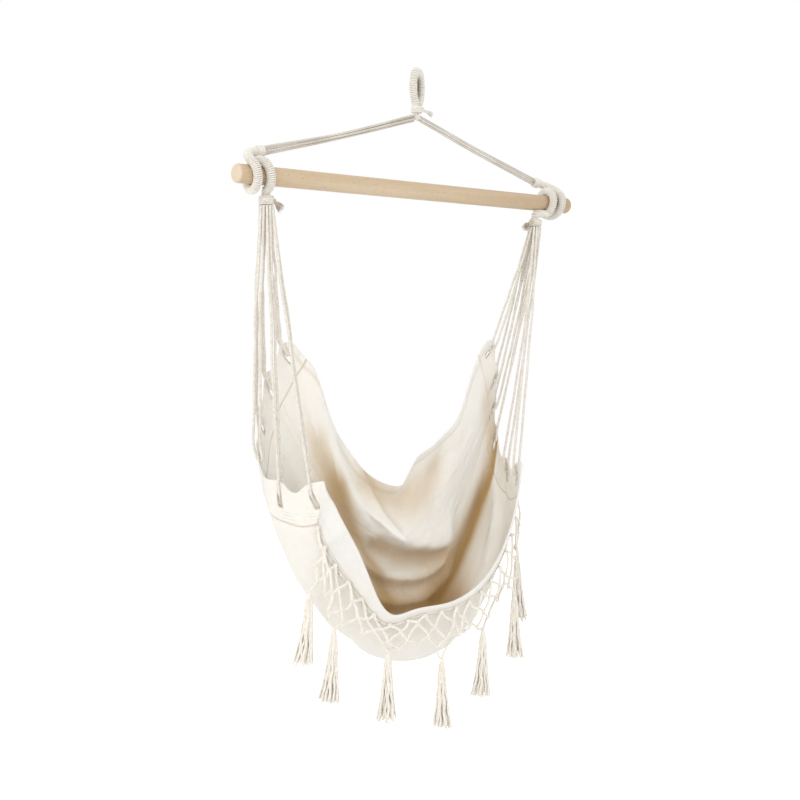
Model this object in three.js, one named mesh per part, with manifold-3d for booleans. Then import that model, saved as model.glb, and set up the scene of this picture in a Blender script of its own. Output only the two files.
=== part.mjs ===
// Hanging hammock chair: a served rope eye, suspension cords, a wooden spreader bar in two rope
// hitches, looped seat cords, a canvas seat, knotted netting along its front, and seven tassels.
// Millimetres, +Z up, +X along the bar, front towards -Y. The origin is the inside top of the eye.
import * as THREE from "three";
import { mergeVertices } from "three/addons/utils/BufferGeometryUtils.js";
import Module from "manifold-3d";

const wasm = await Module();
wasm.setup();

// General clearances
const fitGap = 0.3;
const loopGap = 0.8;

// Hanging eye
const eyeRopeDiameter = 17;
const eyeOpeningHeight = 62;
const eyeOpeningWidth = 15;
const eyeTurnDegrees = 18;
const throatHeight = 12;
const throatDiameter = 25;
const throatLegSpacing = 7;

// Apex knot and suspension cords
const apexKnotDiameter = 17;
const suspensionCordDiameter = 4.2;
const suspensionCordsPerSide = 4;

// Spreader bar
const barLength = 900;
const barDiameter = 35;
const barEndRound = 7;
const barBelowHook = 230;
const barShift = 8;

// Hitches round the bar
const hitchRopeDiameter = 18;
const hitchPitch = 29;
const hitchFromBarEnd = 49;
const hitchGap = 0.8;
const hitchTurnShare = 1.42;
const hitchStepsPerTurn = 24;

// Whippings, bindings and tails
const whippingWall = 2;
const whippingLength = 13;
const bindingDiameter = 29;
const bindingLength = 19;
const bindingReachLeft = 378;
const bindingReachRight = 348;
const bindingForward = 6;
const bindingDrop = 37;
const bindingDomeRadius = 16;
const tailDiameter = 8;
const tailLength = 24;

// Seat cords
const seatCordDiameter = 5.5;
const seatCordBow = 3;
const seatCordSpread = 0.5;
const slotShares = [0.06, 0.22, 0.39, 0.56, 0.77, 0.93];

// Seat fabric
const clothThickness = 2.6;
const hemSpan = 664;
const hemReachBack = 95;
const cordDrop = 290;
const hemDrop = 280;
const backSag = 316;
const seatSag = 351;
const seatCentreBack = 82;
const slotInset = 15;
const slotHeight = 22;
const slotWidth = 23;
const foldHeight = 26;
const foldWidth = 34;
const edgeLift = 52;

// Turned-out front
const collarGap = 9;
const collarSideDrop = 74;
const collarCrest = 5;
const frontPush = 30;
const frontPointDrop = 40;

// Netting and tassels
const netCordDiameter = 4.6;
const netKnotDiameter = 8;
const netCells = 18;
const netStandOff = 5;
const netBottomSpan = 576;
const netSideDrop = 210;
const netCentreDrop = 377;
const netSideForward = 12;
const netCentreForward = 75;
const tasselLength = 141;
const tasselNeckDiameter = 13;
const tasselSkirtDiameter = 34;
const tasselKnotDiameter = 15;

// Levels and radii worked out from the sizes above
const barZ = -barBelowHook;
const barRadius = barDiameter / 2;
const hitchReach = barLength / 2 - hitchFromBarEnd;
const hitchRadius = barRadius + hitchGap + hitchRopeDiameter / 2;
const throatTopZ = -eyeOpeningHeight;
const throatBottomZ = throatTopZ - throatHeight;
const apexZ = throatBottomZ - fitGap - apexKnotDiameter / 2;
const bindingTopZ = barZ - bindingDrop;
const bindingBottomZ = bindingTopZ - bindingLength;
const seatPivotZ = bindingBottomZ + bindingDomeRadius;
const hemTopZ = barZ - cordDrop;
const hemBottomZ = hemTopZ - hemDrop;
const hemHalfSpan = hemSpan / 2;

const degree = Math.PI / 180;

// Materials
const cotton = { color: 0xf0e9da, roughness: 0.95, metalness: 0 };
const canvas = { color: 0xefe6d4, roughness: 0.9, metalness: 0 };
const beech = { color: 0xdcb88a, roughness: 0.55, metalness: 0 };

const part = new THREE.Group();

function addPiece(name, geometry, look) {
  const mesh = new THREE.Mesh(geometry, new THREE.MeshStandardMaterial(look));
  mesh.name = name;
  part.add(mesh);
}

// Booleans on closed geometries
function toSolid(geometry) {
  const plain = geometry.index ? geometry.toNonIndexed() : geometry.clone();
  plain.deleteAttribute("normal");
  plain.deleteAttribute("uv");
  const merged = mergeVertices(plain, 1e-3);
  return new wasm.Manifold(
    new wasm.Mesh({
      numProp: 3,
      vertProperties: merged.attributes.position.array,
      triVerts: new Uint32Array(merged.index.array),
    }),
  );
}

function fromSolid(solid) {
  const mesh = solid.getMesh();
  const geometry = new THREE.BufferGeometry();
  geometry.setAttribute("position", new THREE.BufferAttribute(mesh.vertProperties, 3));
  geometry.setIndex(new THREE.BufferAttribute(mesh.triVerts, 1));
  return geometry;
}

function join(geometries) {
  let solid = toSolid(geometries[0]);
  for (const geometry of geometries.slice(1)) solid = solid.add(toSolid(geometry));
  return fromSolid(solid);
}

// A route whose steps follow its points, so that straight stretches stay coarse and bends fine.
class CordRoute extends THREE.CatmullRomCurve3 {
  constructor(points) {
    super(points, false, "centripetal");
  }
  getUtoTmapping(u) {
    return u;
  }
}

function tubeGeometry(points, diameter, sides, stepsPerPoint) {
  const section = new THREE.Shape();
  for (let side = 0; side < sides; side++) {
    const angle = (side / sides) * 2 * Math.PI;
    const x = (diameter / 2) * Math.cos(angle);
    const y = (diameter / 2) * Math.sin(angle);
    if (side === 0) section.moveTo(x, y);
    else section.lineTo(x, y);
  }
  section.closePath();
  const steps = stepsPerPoint * (points.length - 1);
  return new THREE.ExtrudeGeometry(section, { steps, extrudePath: new CordRoute(points) });
}

// A turned shape whose axis runs from one point to another; its profile is radius by distance.
function turnedBetween(from, to, profile, sides) {
  const axis = to.clone().sub(from);
  const points = profile.map(([radius, distance]) => new THREE.Vector2(radius, distance));
  const geometry = new THREE.LatheGeometry(points, sides);
  const turn = new THREE.Quaternion().setFromUnitVectors(new THREE.Vector3(0, 1, 0), axis.normalize());
  geometry.applyQuaternion(turn);
  geometry.translate(from.x, from.y, from.z);
  return geometry;
}

function v3(x, y, z) {
  return new THREE.Vector3(x, y, z);
}

// Hanging eye: two bowed legs of one served rope, joined at the top and in the throat
function makeHangingEye() {
  const halfGap = (eyeOpeningWidth + eyeRopeDiameter) / 2;
  const crownZ = eyeRopeDiameter / 2;
  const legs = [-1, 1].map((side) =>
    tubeGeometry(
      [
        v3((side * throatLegSpacing) / 2, 0, throatTopZ - throatHeight / 2),
        v3((side * throatLegSpacing) / 2, 0, throatTopZ),
        v3(side * halfGap * 0.8, 0, -eyeOpeningHeight * 0.7),
        v3(side * halfGap, 0, -eyeOpeningHeight * 0.4),
        v3(side * halfGap * 0.92, 0, -eyeOpeningHeight * 0.14),
        v3(side * halfGap * 0.55, 0, crownZ * 0.7),
        v3(0, 0, crownZ),
        v3(-side * halfGap * 0.3, 0, crownZ * 0.9),
      ],
      eyeRopeDiameter,
      10,
      2,
    ),
  );
  const eye = join(legs);
  eye.rotateZ(eyeTurnDegrees * degree);
  addPiece("hanging_eye", eye, cotton);
}

// Throat whipping: turns of thread round both legs, as one sleeve with an oval socket for the legs
function makeThroat() {
  const wall = throatDiameter / 2;
  const sleeve = toSolid(
    turnedBetween(
      v3(0, 0, throatBottomZ),
      v3(0, 0, throatTopZ),
      [
        [0, 0],
        [wall * 0.86, 0],
        [wall, throatHeight * 0.2],
        [wall, throatHeight * 0.8],
        [wall * 0.9, throatHeight],
        [0, throatHeight],
      ],
      16,
    ),
  );
  const legRoom = new THREE.ExtrudeGeometry(throatOutline(), {
    depth: throatHeight,
    bevelEnabled: false,
  });
  legRoom.translate(0, 0, throatTopZ - throatHeight / 2 - fitGap);
  legRoom.rotateZ(eyeTurnDegrees * degree);
  addPiece("throat_whipping", fromSolid(sleeve.subtract(toSolid(legRoom))), cotton);
}

function throatOutline() {
  const reach = throatLegSpacing / 2;
  const radius = eyeRopeDiameter / 2 + fitGap;
  const outline = new THREE.Shape();
  outline.absarc(reach, 0, radius, -Math.PI / 2, Math.PI / 2, false);
  outline.absarc(-reach, 0, radius, Math.PI / 2, -Math.PI / 2, false);
  outline.closePath();
  return outline;
}

// A frayed tail: a small knot and a tuft that widens
function makeTail(name, at, towards) {
  const knot = tailDiameter / 2;
  addPiece(
    name,
    turnedBetween(
      at,
      at.clone().add(towards),
      [
        [0, 0],
        [knot, knot * 0.6],
        [knot, knot * 1.6],
        [knot * 0.55, knot * 2.4],
        [knot * 0.9, tailLength * 0.7],
        [knot * 1.3, tailLength],
        [0, tailLength],
      ],
      10,
    ),
    cotton,
  );
}

function makeApexKnot() {
  const knot = new THREE.SphereGeometry(apexKnotDiameter / 2, 16, 12);
  knot.rotateX(Math.PI / 2);
  knot.translate(0, 0, apexZ);
  addPiece("apex_knot", knot, cotton);
}

function makeBar() {
  const radius = barRadius;
  const round = barEndRound;
  const arc = [0, 30, 60, 90].map((angle) => [
    radius - round + round * Math.sin(angle * degree),
    round - round * Math.cos(angle * degree),
  ]);
  const profile = [[0, 0], ...arc];
  for (const [r, d] of [...arc].reverse()) profile.push([r, barLength - d]);
  profile.push([0, barLength]);
  const from = v3(barShift - barLength / 2, 0, barZ);
  const to = v3(barShift + barLength / 2, 0, barZ);
  const bar = turnedBetween(from, to, profile, 28);
  addPiece("spreader_bar", bar, beech);
}

// Both ends of the bar: sign is -1 on the left and +1 on the right
const sides = [
  { name: "left", sign: -1, bindingReach: bindingReachLeft },
  { name: "right", sign: 1, bindingReach: bindingReachRight },
];

// The hitch comes in from the suspension cords over the bar's top, goes round the bar towards
// its middle, and leaves downwards in front into the binding.
const hitchEntryShares = [
  [1.75, 1.02, 1.14],
  [0.86, 0.96, 0.9],
  [0.3, 0.3, 0.5],
];

function hitchRoute(side) {
  const { sign, bindingReach } = side;
  const points = [];
  const startX = hitchReach + hitchPitch * 0.62;
  for (const [outShare, backShare, upShare] of hitchEntryShares)
    points.push(
      v3(
        sign * (startX - hitchPitch * outShare),
        hitchRopeDiameter * backShare,
        barZ + hitchRadius + hitchRopeDiameter * upShare,
      ),
    );
  const turnSteps = Math.round(hitchStepsPerTurn * hitchTurnShare);
  for (let step = 2; step <= turnSteps; step++) {
    const share = step / hitchStepsPerTurn;
    const angle = share * 2 * Math.PI;
    points.push(
      v3(
        sign * (startX - hitchPitch * share),
        -hitchRadius * Math.sin(angle),
        barZ + hitchRadius * Math.cos(angle),
      ),
    );
  }
  points.push(v3(sign * bindingReach, -bindingForward, bindingTopZ + hitchRopeDiameter * 0.6));
  points.push(v3(sign * bindingReach, -bindingForward, bindingTopZ - bindingLength / 2));
  return points;
}

function makeHitch(side) {
  const points = hitchRoute(side);
  addPiece("bar_hitch_" + side.name, tubeGeometry(points, hitchRopeDiameter, 6, 1), cotton);
  printSelfGap("bar_hitch_" + side.name, points, hitchRopeDiameter);
}

// Least clear distance between stretches of one wound tube that lie further apart along it
function printSelfGap(name, points, diameter) {
  const samples = new CordRoute(points).getPoints(points.length * 6);
  let least = Infinity;
  let travelled = 0;
  const lengths = samples.map((point, i) => {
    if (i > 0) travelled += point.distanceTo(samples[i - 1]);
    return travelled;
  });
  for (let i = 0; i < samples.length; i++)
    for (let j = i + 1; j < samples.length; j++)
      if (lengths[j] - lengths[i] > Math.PI * diameter)
        least = Math.min(least, samples[i].distanceTo(samples[j]) - diameter);
  console.log(name + " least gap to itself " + least.toFixed(2) + " mm");
}

// Suspension cords, side by side in a flat band. They start on the apex knot's ball and end on the
// end face of the hitch's served rope.
function makeSuspension(side) {
  const [end, next] = hitchRoute(side);
  const apex = v3(0, 0, apexZ);
  const run = end.clone().sub(apex).normalize();
  const faceNormal = next.clone().sub(end).normalize();
  const flat = v3(0, 1, 0).cross(run).normalize();
  const radius = suspensionCordDiameter / 2;
  const pitch = suspensionCordDiameter + fitGap;
  const faceGap = fitGap + radius * Math.sqrt(1 - run.dot(faceNormal) ** 2);
  for (let cord = 0; cord < suspensionCordsPerSide; cord++) {
    const row = cord - (suspensionCordsPerSide - 1) / 2;
    const stagger = (cord % 2 === 0 ? 1 : -1) * pitch * 0.22;
    const offset = (share) =>
      v3(0, stagger * (2.4 - 1.4 * share), 0).addScaledVector(flat, row * pitch * (0.82 + 0.18 * share));
    const offAxis = Math.max(0, offset(0).length() - radius);
    const startReach = Math.sqrt((apexKnotDiameter / 2 + fitGap) ** 2 - offAxis ** 2);
    const stopShort = (faceGap + offset(1).dot(faceNormal)) / run.dot(faceNormal);
    const start = apex.clone().addScaledVector(run, startReach);
    const stop = end.clone().addScaledVector(run, -stopShort);
    const points = [0, 0.33, 0.67, 1].map((share) => start.clone().lerp(stop, share).add(offset(share)));
    addPiece(
      "suspension_cord_" + side.name + "_" + (cord + 1),
      tubeGeometry(points, suspensionCordDiameter, 8, 1),
      cotton,
    );
  }
}

// A sleeve of thread over the rope's end, open right through
function sleeveGeometry(centre, axis, inner, outer, length, sides) {
  const half = axis.clone().setLength(length / 2);
  return turnedBetween(
    centre.clone().sub(half),
    centre.clone().add(half),
    [
      [inner, 0],
      [outer * 0.94, 0],
      [outer, length * 0.2],
      [outer, length * 0.8],
      [outer * 0.94, length],
      [inner, length],
      [inner, 0],
    ],
    sides,
  );
}

function makeTopWhipping(side) {
  const [start, next] = hitchRoute(side);
  const axis = next.clone().sub(start);
  const inner = hitchRopeDiameter / 2 + fitGap;
  const centre = start.clone().addScaledVector(axis.clone().normalize(), whippingLength / 2 + fitGap);
  addPiece(
    "top_whipping_" + side.name,
    sleeveGeometry(centre, axis, inner, inner + whippingWall, whippingLength, 16),
    cotton,
  );
}

// Binding: a sleeve that holds the hitch's lower end above and the seat cords below
function makeBinding(side) {
  const { sign, bindingReach } = side;
  const radius = bindingDiameter / 2;
  const socket = hitchRopeDiameter / 2 + fitGap;
  const depth = bindingLength / 2 + fitGap;
  const from = v3(sign * bindingReach, -bindingForward, bindingBottomZ);
  const to = v3(sign * bindingReach, -bindingForward, bindingTopZ);
  const domeEnd = Math.asin(radius / bindingDomeRadius);
  const dome = [0, 0.33, 0.67, 1].map((share) => [
    bindingDomeRadius * Math.sin(share * domeEnd),
    bindingDomeRadius * (1 - Math.cos(share * domeEnd)),
  ]);
  addPiece(
    "binding_" + side.name,
    turnedBetween(
      from,
      to,
      [
        ...dome,
        [radius, bindingLength * 0.75],
        [radius * 0.84, bindingLength],
        [socket, bindingLength],
        [socket, bindingLength - depth],
        [0, bindingLength - depth],
      ],
      20,
    ),
    cotton,
  );
  const tailStart = v3(
    sign * (bindingReach - radius - fitGap),
    -bindingForward,
    bindingBottomZ + bindingLength * 0.66,
  );
  makeTail("binding_tail_" + side.name, tailStart, v3(-sign * 0.85 * tailLength, 0, -0.45 * tailLength));
}

// Seat surface. along runs from 0 at the back's top edge to 1 at the front fold; across runs
// from -1 at the left hem to +1 at the right hem.
const hemShares = [
  [0.85, 0.62, 0],
  [0.96, 0.8, 0.24],
  [1, 1, 0.58],
  [0.985, 0.84, 0.9],
  [0.92, 0.3, 1.01],
  [0.816, -0.39, 0.979],
];
const hemCurve = new THREE.CatmullRomCurve3(
  hemShares.map(([x, y, z]) => v3(x * hemHalfSpan, y * hemReachBack, hemTopZ - z * hemDrop)),
  false,
  "centripetal",
);

const centreShares = [
  [0.6, 0],
  [0.9, 0.3],
  [0.97, 0.6],
  [0.78, 0.85],
  [0.36, 0.985],
  [-0.05, 1],
  [-0.42, 0.93],
  [-0.7, 0.8],
  [-0.92, 0.645],
];
const centreTopZ = hemTopZ - backSag;
const centreCurve = new THREE.CatmullRomCurve3(
  centreShares.map(([y, z]) => v3(0, y * seatCentreBack, centreTopZ - z * seatSag)),
  false,
  "centripetal",
);

function bump(value, centre, width) {
  const distance = (value - centre) / width;
  return Math.exp(-distance * distance);
}

// On the left the front hangs to a point: it is drawn in above the point and lower at it
function frontPoint(across, along) {
  const share =
    THREE.MathUtils.smoothstep(along, 0.75, 1) * THREE.MathUtils.smoothstep(1 - Math.abs(across), 0, 0.12);
  const shift = v3(frontPush * bump(across, -0.7, 0.25), 0, -frontPointDrop * bump(across, -0.36, 0.16));
  return shift.multiplyScalar(share);
}

function seatBase(across, along) {
  const hem = hemCurve.getPointAt(THREE.MathUtils.clamp(along, 0, 1));
  const centre = centreCurve.getPointAt(THREE.MathUtils.clamp(along, 0, 1));
  const reach = Math.abs(across);
  const inwards = 1 - reach;
  const roundness =
    THREE.MathUtils.smoothstep(along, 0.38, 0.74) * (1 - 0.12 * THREE.MathUtils.smoothstep(along, 0.78, 1));
  const angle = (inwards * Math.PI) / 2;
  const spread = (1 - roundness) * reach + roundness * Math.cos(angle);
  const drop = (1 - roundness) * (1 - reach * reach) + roundness * Math.sin(angle);
  const swing = THREE.MathUtils.smoothstep(inwards, 0, 1);
  const point = v3(
    Math.sign(across) * hem.x * spread,
    THREE.MathUtils.lerp(hem.y, centre.y, swing),
    THREE.MathUtils.lerp(hem.z, centre.z, drop) + edgeLiftAt(across, along),
  );
  return point.add(frontPoint(across, along));
}

function outwardNormal(surface, across, along) {
  const step = 0.004;
  const u = surface(across + step, along).sub(surface(across - step, along));
  const v = surface(across, along + step).sub(surface(across, along - step));
  return u.cross(v).normalize();
}

// Main folds, as lines of (across, along) shares over the cloth. A positive height share stands
// away from the sitter, a negative one towards the sitter.
const foldLineShares = [
  { heightShare: 0.55, widthShare: 1.1, line: [[-0.6, 0.03], [-0.2, 0.08], [0.2, 0.06], [0.45, 0.1]] },
  { heightShare: -0.9, widthShare: 0.9, line: [[-0.8, 0.05], [-0.38, 0.14], [0, 0.21], [0.3, 0.3], [0.55, 0.43]] },
  { heightShare: 0.5, widthShare: 0.8, line: [[-0.2, 0.26], [0.13, 0.31], [0.45, 0.43]] },
  { heightShare: -0.55, widthShare: 0.8, line: [[-0.3, 0.32], [0.09, 0.37], [0.42, 0.47], [0.6, 0.52]] },
  { heightShare: -0.4, widthShare: 0.7, line: [[-0.2, 0.45], [0.11, 0.47], [0.33, 0.55], [0.56, 0.6]] },
  { heightShare: 0.9, widthShare: 0.9, line: [[0.84, 0.5], [0.7, 0.55], [0.52, 0.57], [0.35, 0.6]] },
  { heightShare: 0.6, widthShare: 1, line: [[-0.82, 0.4], [-0.62, 0.5], [-0.4, 0.6]] },
  { heightShare: -0.5, widthShare: 1, line: [[0.8, 0.66], [0.6, 0.68], [0.4, 0.68]] },
  { heightShare: -0.5, widthShare: 1, line: [[-0.78, 0.62], [-0.55, 0.66], [-0.35, 0.68]] },
];
const centreLength = centreCurve.getLength();

function distanceToLine(across, along, line) {
  const place = (point) => new THREE.Vector2(point[0] * hemSpan * 0.7, point[1] * centreLength);
  const at = place([across, along]);
  let least = Infinity;
  for (let i = 1; i < line.length; i++) {
    const from = place(line[i - 1]);
    const step = place(line[i]).sub(from);
    const share = THREE.MathUtils.clamp(at.clone().sub(from).dot(step) / step.lengthSq(), 0, 1);
    least = Math.min(least, at.distanceTo(from.addScaledVector(step, share)));
  }
  return least;
}

function foldHeightAt(across, along) {
  const free = THREE.MathUtils.smoothstep(1 - Math.abs(across), 0.1, 0.26);
  const front = THREE.MathUtils.smoothstep(1 - along, 0, 0.2);
  if (free * front === 0) return 0;
  let height = 0;
  for (const { heightShare, widthShare, line } of foldLineShares)
    height += foldHeight * heightShare * bump(distanceToLine(across, along, line), 0, foldWidth * widthShare);
  return free * front * height;
}

// How far the back's top edge stands above its even sag, by share of the way across
const edgeLiftShares = [
  [-1, 0],
  [-0.9, 0.6],
  [-0.78, 1.1],
  [-0.6, 0.45],
  [-0.38, 0.12],
  [0.05, 0],
  [0.14, 0.5],
  [0.22, 0.9],
  [0.42, 0.7],
  [0.64, 0.3],
  [0.76, 0.85],
  [0.88, 0.8],
  [1, 0],
];

function edgeLiftAt(across, along) {
  const fade = 1 - THREE.MathUtils.smoothstep(along, 0, 0.26);
  const next = edgeLiftShares.findIndex(([place]) => place >= across);
  if (fade === 0 || next < 1) return 0;
  const [from, to] = [edgeLiftShares[next - 1], edgeLiftShares[next]];
  const share = THREE.MathUtils.smoothstep(across, from[0], to[0]);
  return edgeLift * fade * THREE.MathUtils.lerp(from[1], to[1], share);
}

function seatPoint(across, along) {
  const point = seatBase(across, along);
  const height = foldHeightAt(across, along);
  if (height !== 0) point.addScaledVector(outwardNormal(seatBase, across, along), height);
  return point;
}

// Share of the way in from the hem that a length of cloth there takes
function insetShare(along, length) {
  const probe = 0.01;
  const speed = seatBase(1, along).distanceTo(seatBase(1 - probe, along)) / probe;
  return length / speed;
}

const hemLength = hemCurve.getLength();

function acrossLines(along) {
  const near = [0, slotInset, slotInset + slotHeight, slotInset + 2.3 * slotHeight];
  const insets = near.map((length) => insetShare(along, length));
  const inner = insets[insets.length - 1];
  const count = 9;
  for (let i = 1; i <= count; i++) insets.push(inner + ((1 - inner) * i) / count);
  const left = insets.map((inset) => inset - 1);
  const right = insets.slice(0, -1).map((inset) => 1 - inset);
  return [...left, ...right.reverse()];
}

function alongLines() {
  const half = slotWidth / 2 / hemLength;
  const lines = [];
  slotShares.forEach((share, i) => {
    if (i === 0) lines.push(0);
    else lines.push((share + slotShares[i - 1]) / 2);
    lines.push(share - half, share + half);
  });
  lines.push(1);
  return lines;
}

// The turned-out front: line 0 is the crest of the fold, the last line its free edge
const collarLines = 4;

function collarPoint(across, line) {
  const share = line / (collarLines - 1);
  const reach = Math.abs(across);
  const backward = 0.018 + 0.067 * reach ** 1.6 + 0.05 * bump(across, -0.7, 0.3);
  const downward = insetShare(1, collarSideDrop) * reach ** 6;
  const at = across * (1 - share * downward);
  const along = 1 - share * backward;
  const point = seatPoint(at, along);
  const normal = outwardNormal(seatBase, at, along);
  const rise = line === 0 ? collarCrest : 0;
  const forward = seatBase(across, 1).sub(seatBase(across, 0.99)).normalize();
  point.addScaledVector(forward, rise);
  return point.addScaledVector(normal, line === 0 ? collarGap / 2 : collarGap * (1 - 0.25 * share));
}

// Rows of points over the whole cloth, back edge first, then over the fold to the free edge
function clothRows() {
  const rows = alongLines().map((along) => acrossLines(along).map((across) => seatPoint(across, along)));
  for (let line = 0; line < collarLines; line++)
    rows.push(acrossLines(1).map((across) => collarPoint(across, line)));
  return rows;
}

function isSlot(row, column, columns) {
  const nearHem = column === 1 || column === columns - 3;
  const slotRow = row % 3 === 1 && row < slotShares.length * 3;
  return nearHem && slotRow;
}

function makeSeatFabric() {
  const rows = clothRows();
  const rowCount = rows.length;
  const columnCount = rows[0].length;
  const faces = { outer: [], inner: [] };
  for (let i = 0; i < rowCount; i++)
    for (let j = 0; j < columnCount; j++) {
      const u = rows[i][Math.min(j + 1, columnCount - 1)].clone().sub(rows[i][Math.max(j - 1, 0)]);
      const v = rows[Math.min(i + 1, rowCount - 1)][j].clone().sub(rows[Math.max(i - 1, 0)][j]);
      const normal = u.cross(v).setLength(clothThickness / 2);
      faces.outer.push(rows[i][j].clone().add(normal));
      faces.inner.push(rows[i][j].clone().sub(normal));
    }
  const points = [...faces.outer, ...faces.inner];
  const innerStart = rowCount * columnCount;
  const triangles = [];
  const quad = (a, b, c, d) => triangles.push(a, b, c, a, c, d);
  const open = (i, j) =>
    i < 0 || j < 0 || i >= rowCount - 1 || j >= columnCount - 1 || isSlot(i, j, columnCount);
  const at = (i, j) => i * columnCount + j;
  for (let i = 0; i < rowCount - 1; i++)
    for (let j = 0; j < columnCount - 1; j++) {
      if (open(i, j)) continue;
      const [a, b, c, d] = [at(i, j), at(i, j + 1), at(i + 1, j + 1), at(i + 1, j)];
      const lower = [a, b, c, d].map((k) => k + innerStart);
      quad(a, b, c, d);
      quad(lower[0], lower[3], lower[2], lower[1]);
      if (open(i - 1, j)) quad(b, a, lower[0], lower[1]);
      if (open(i, j + 1)) quad(c, b, lower[1], lower[2]);
      if (open(i + 1, j)) quad(d, c, lower[2], lower[3]);
      if (open(i, j - 1)) quad(a, d, lower[3], lower[0]);
    }
  const geometry = new THREE.BufferGeometry();
  geometry.setAttribute("position", new THREE.Float32BufferAttribute(points.flatMap((p) => p.toArray()), 3));
  geometry.setIndex(triangles);
  addPiece("seat_fabric", geometry, canvas);
}

// Seat cords: each loop leaves the binding, goes down outside the hem, through its buttonhole,
// and back up inside the hem.
function seatCordRoute(side, index) {
  const { sign, bindingReach } = side;
  const share = slotShares[index];
  const standOff = clothThickness / 2 + loopGap + seatCordDiameter / 2;
  const crossing = slotInset + slotHeight / 2;
  const place = (inset, height) => {
    const across = sign * (1 - insetShare(share, inset));
    const normal = outwardNormal(seatBase, across, share);
    return seatBase(across, share).addScaledVector(normal, height);
  };
  const ringRadius = bindingDiameter / 2 - seatCordDiameter / 2 - fitGap;
  const ringDistance = bindingDomeRadius + fitGap + seatCordDiameter * 0.3;
  const ringZ = seatPivotZ - Math.sqrt(ringDistance ** 2 - ringRadius ** 2);
  const ringPlace = (outer) => {
    const step = 180 / slotShares.length;
    const turnOfLegs = index === 0 ? -outer : outer;
    const angle = (180 - step * (2 * index + 0.5) + (turnOfLegs * step) / 2) * degree;
    return v3(
      sign * (bindingReach + Math.cos(angle) * ringRadius),
      -bindingForward + Math.sin(angle) * ringRadius,
      ringZ,
    );
  };
  // The bend through the buttonhole is half a circle round the cloth's edge.
  const bendInset = crossing - standOff / 2;
  const leg = (outer) => {
    const top = ringPlace(outer);
    const edge = place(-seatCordDiameter, outer * standOff * 1.3);
    const slot = place(bendInset - seatCordDiameter, outer * standOff * 1.15);
    const apart = outwardNormal(seatBase, sign, share).multiplyScalar(outer * seatCordSpread);
    const bow = v3(sign * seatCordBow, 0, 0).add(apart);
    const bowed = [0.33, 0.67].map((part) => top.clone().lerp(edge, part).add(bow));
    return [top, ...bowed, edge, slot];
  };
  const bend = [90, 45, 0, -45, -90].map((angle) =>
    place(bendInset + standOff * Math.cos(angle * degree), standOff * Math.sin(angle * degree)),
  );
  return [...leg(1), ...bend, ...leg(-1).reverse()];
}

function makeSeatCords(side) {
  slotShares.forEach((share, index) => {
    const name = "seat_cord_" + side.name + "_" + (index + 1);
    const points = seatCordRoute(side, index);
    addPiece(name, tubeGeometry(points, seatCordDiameter, 8, 1), cotton);
    console.log(name + " length " + new CordRoute(points).getLength().toFixed(0) + " mm");
  });
}

// Netting: rows of staggered knots between the free edge of the front and the tassels.
// place runs from -1 to 1 along the netting, and down from 0 at the cloth to 1 at the tassels.
const netTop = [];
const netTopSteps = 60;
for (let i = 0; i <= netTopSteps; i++) {
  const across = (2 * i) / netTopSteps - 1;
  const point = collarPoint(across, collarLines - 1);
  const normal = outwardNormal(seatBase, across, 1);
  const standOff = clothThickness / 2 + loopGap + netKnotDiameter / 2;
  netTop.push(point.addScaledVector(normal, standOff * 0.5).add(v3(0, -standOff * 0.85, 0)));
}
const netTopCurve = new THREE.CatmullRomCurve3(netTop);

const netBottomShares = [
  [0, 0],
  [0.458, 0.22],
  [0.868, 0.56],
  [1, 1],
];
const netBottomCurve = new THREE.CatmullRomCurve3(
  netBottomShares.map(([spread, rise]) =>
    v3(
      (spread * netBottomSpan) / 2,
      THREE.MathUtils.lerp(-netCentreForward, -netSideForward, rise),
      THREE.MathUtils.lerp(hemBottomZ - netCentreDrop, hemBottomZ - netSideDrop, rise),
    ),
  ),
);

function netBottomPoint(place) {
  const point = netBottomCurve.getPoint(Math.abs(place));
  point.x *= Math.sign(place);
  return point;
}

function netPoint(place, down) {
  const top = netTopCurve.getPointAt(THREE.MathUtils.clamp((place + 1) / 2, 0, 1));
  const point = top.lerp(netBottomPoint(place), down);
  point.y -= netStandOff * Math.sin(down * Math.PI);
  return point;
}

// Rows of knots, the last of them only where a tassel is tied
const rowShares = [0, 0.26, 0.5, 0.72, 1];
const cellsPerTassel = 3;
const tasselPlaces = [];
for (let cell = 0; cell <= netCells; cell += cellsPerTassel) tasselPlaces.push((2 * cell) / netCells - 1);

function knotCentres() {
  const tieLift = v3(0, 0, fitGap + netKnotDiameter / 2);
  const lastRow = rowShares.length - 1;
  return rowShares.map((down, row) => {
    const offset = row % 2 === 1 ? 0.5 : 0;
    const centres = [];
    for (let cell = 0; cell + offset <= netCells; cell++) {
      const centre = netPoint((2 * (cell + offset)) / netCells - 1, down);
      if (row < lastRow) centres.push(centre);
      else centres.push(cell % cellsPerTassel === 0 ? centre.add(tieLift) : null);
    }
    return centres;
  });
}

// The netting is one closed skin. Each knot is a lozenge block with raised faces. Its corners run
// up, right, down, left as seen from the front, and side k lies between corners k and k + 1.
// A cord is a square bar from the side of one knot to the facing side of another.
const knotDepthShare = 0.7;
const knotCrownShare = 1.1;

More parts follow.
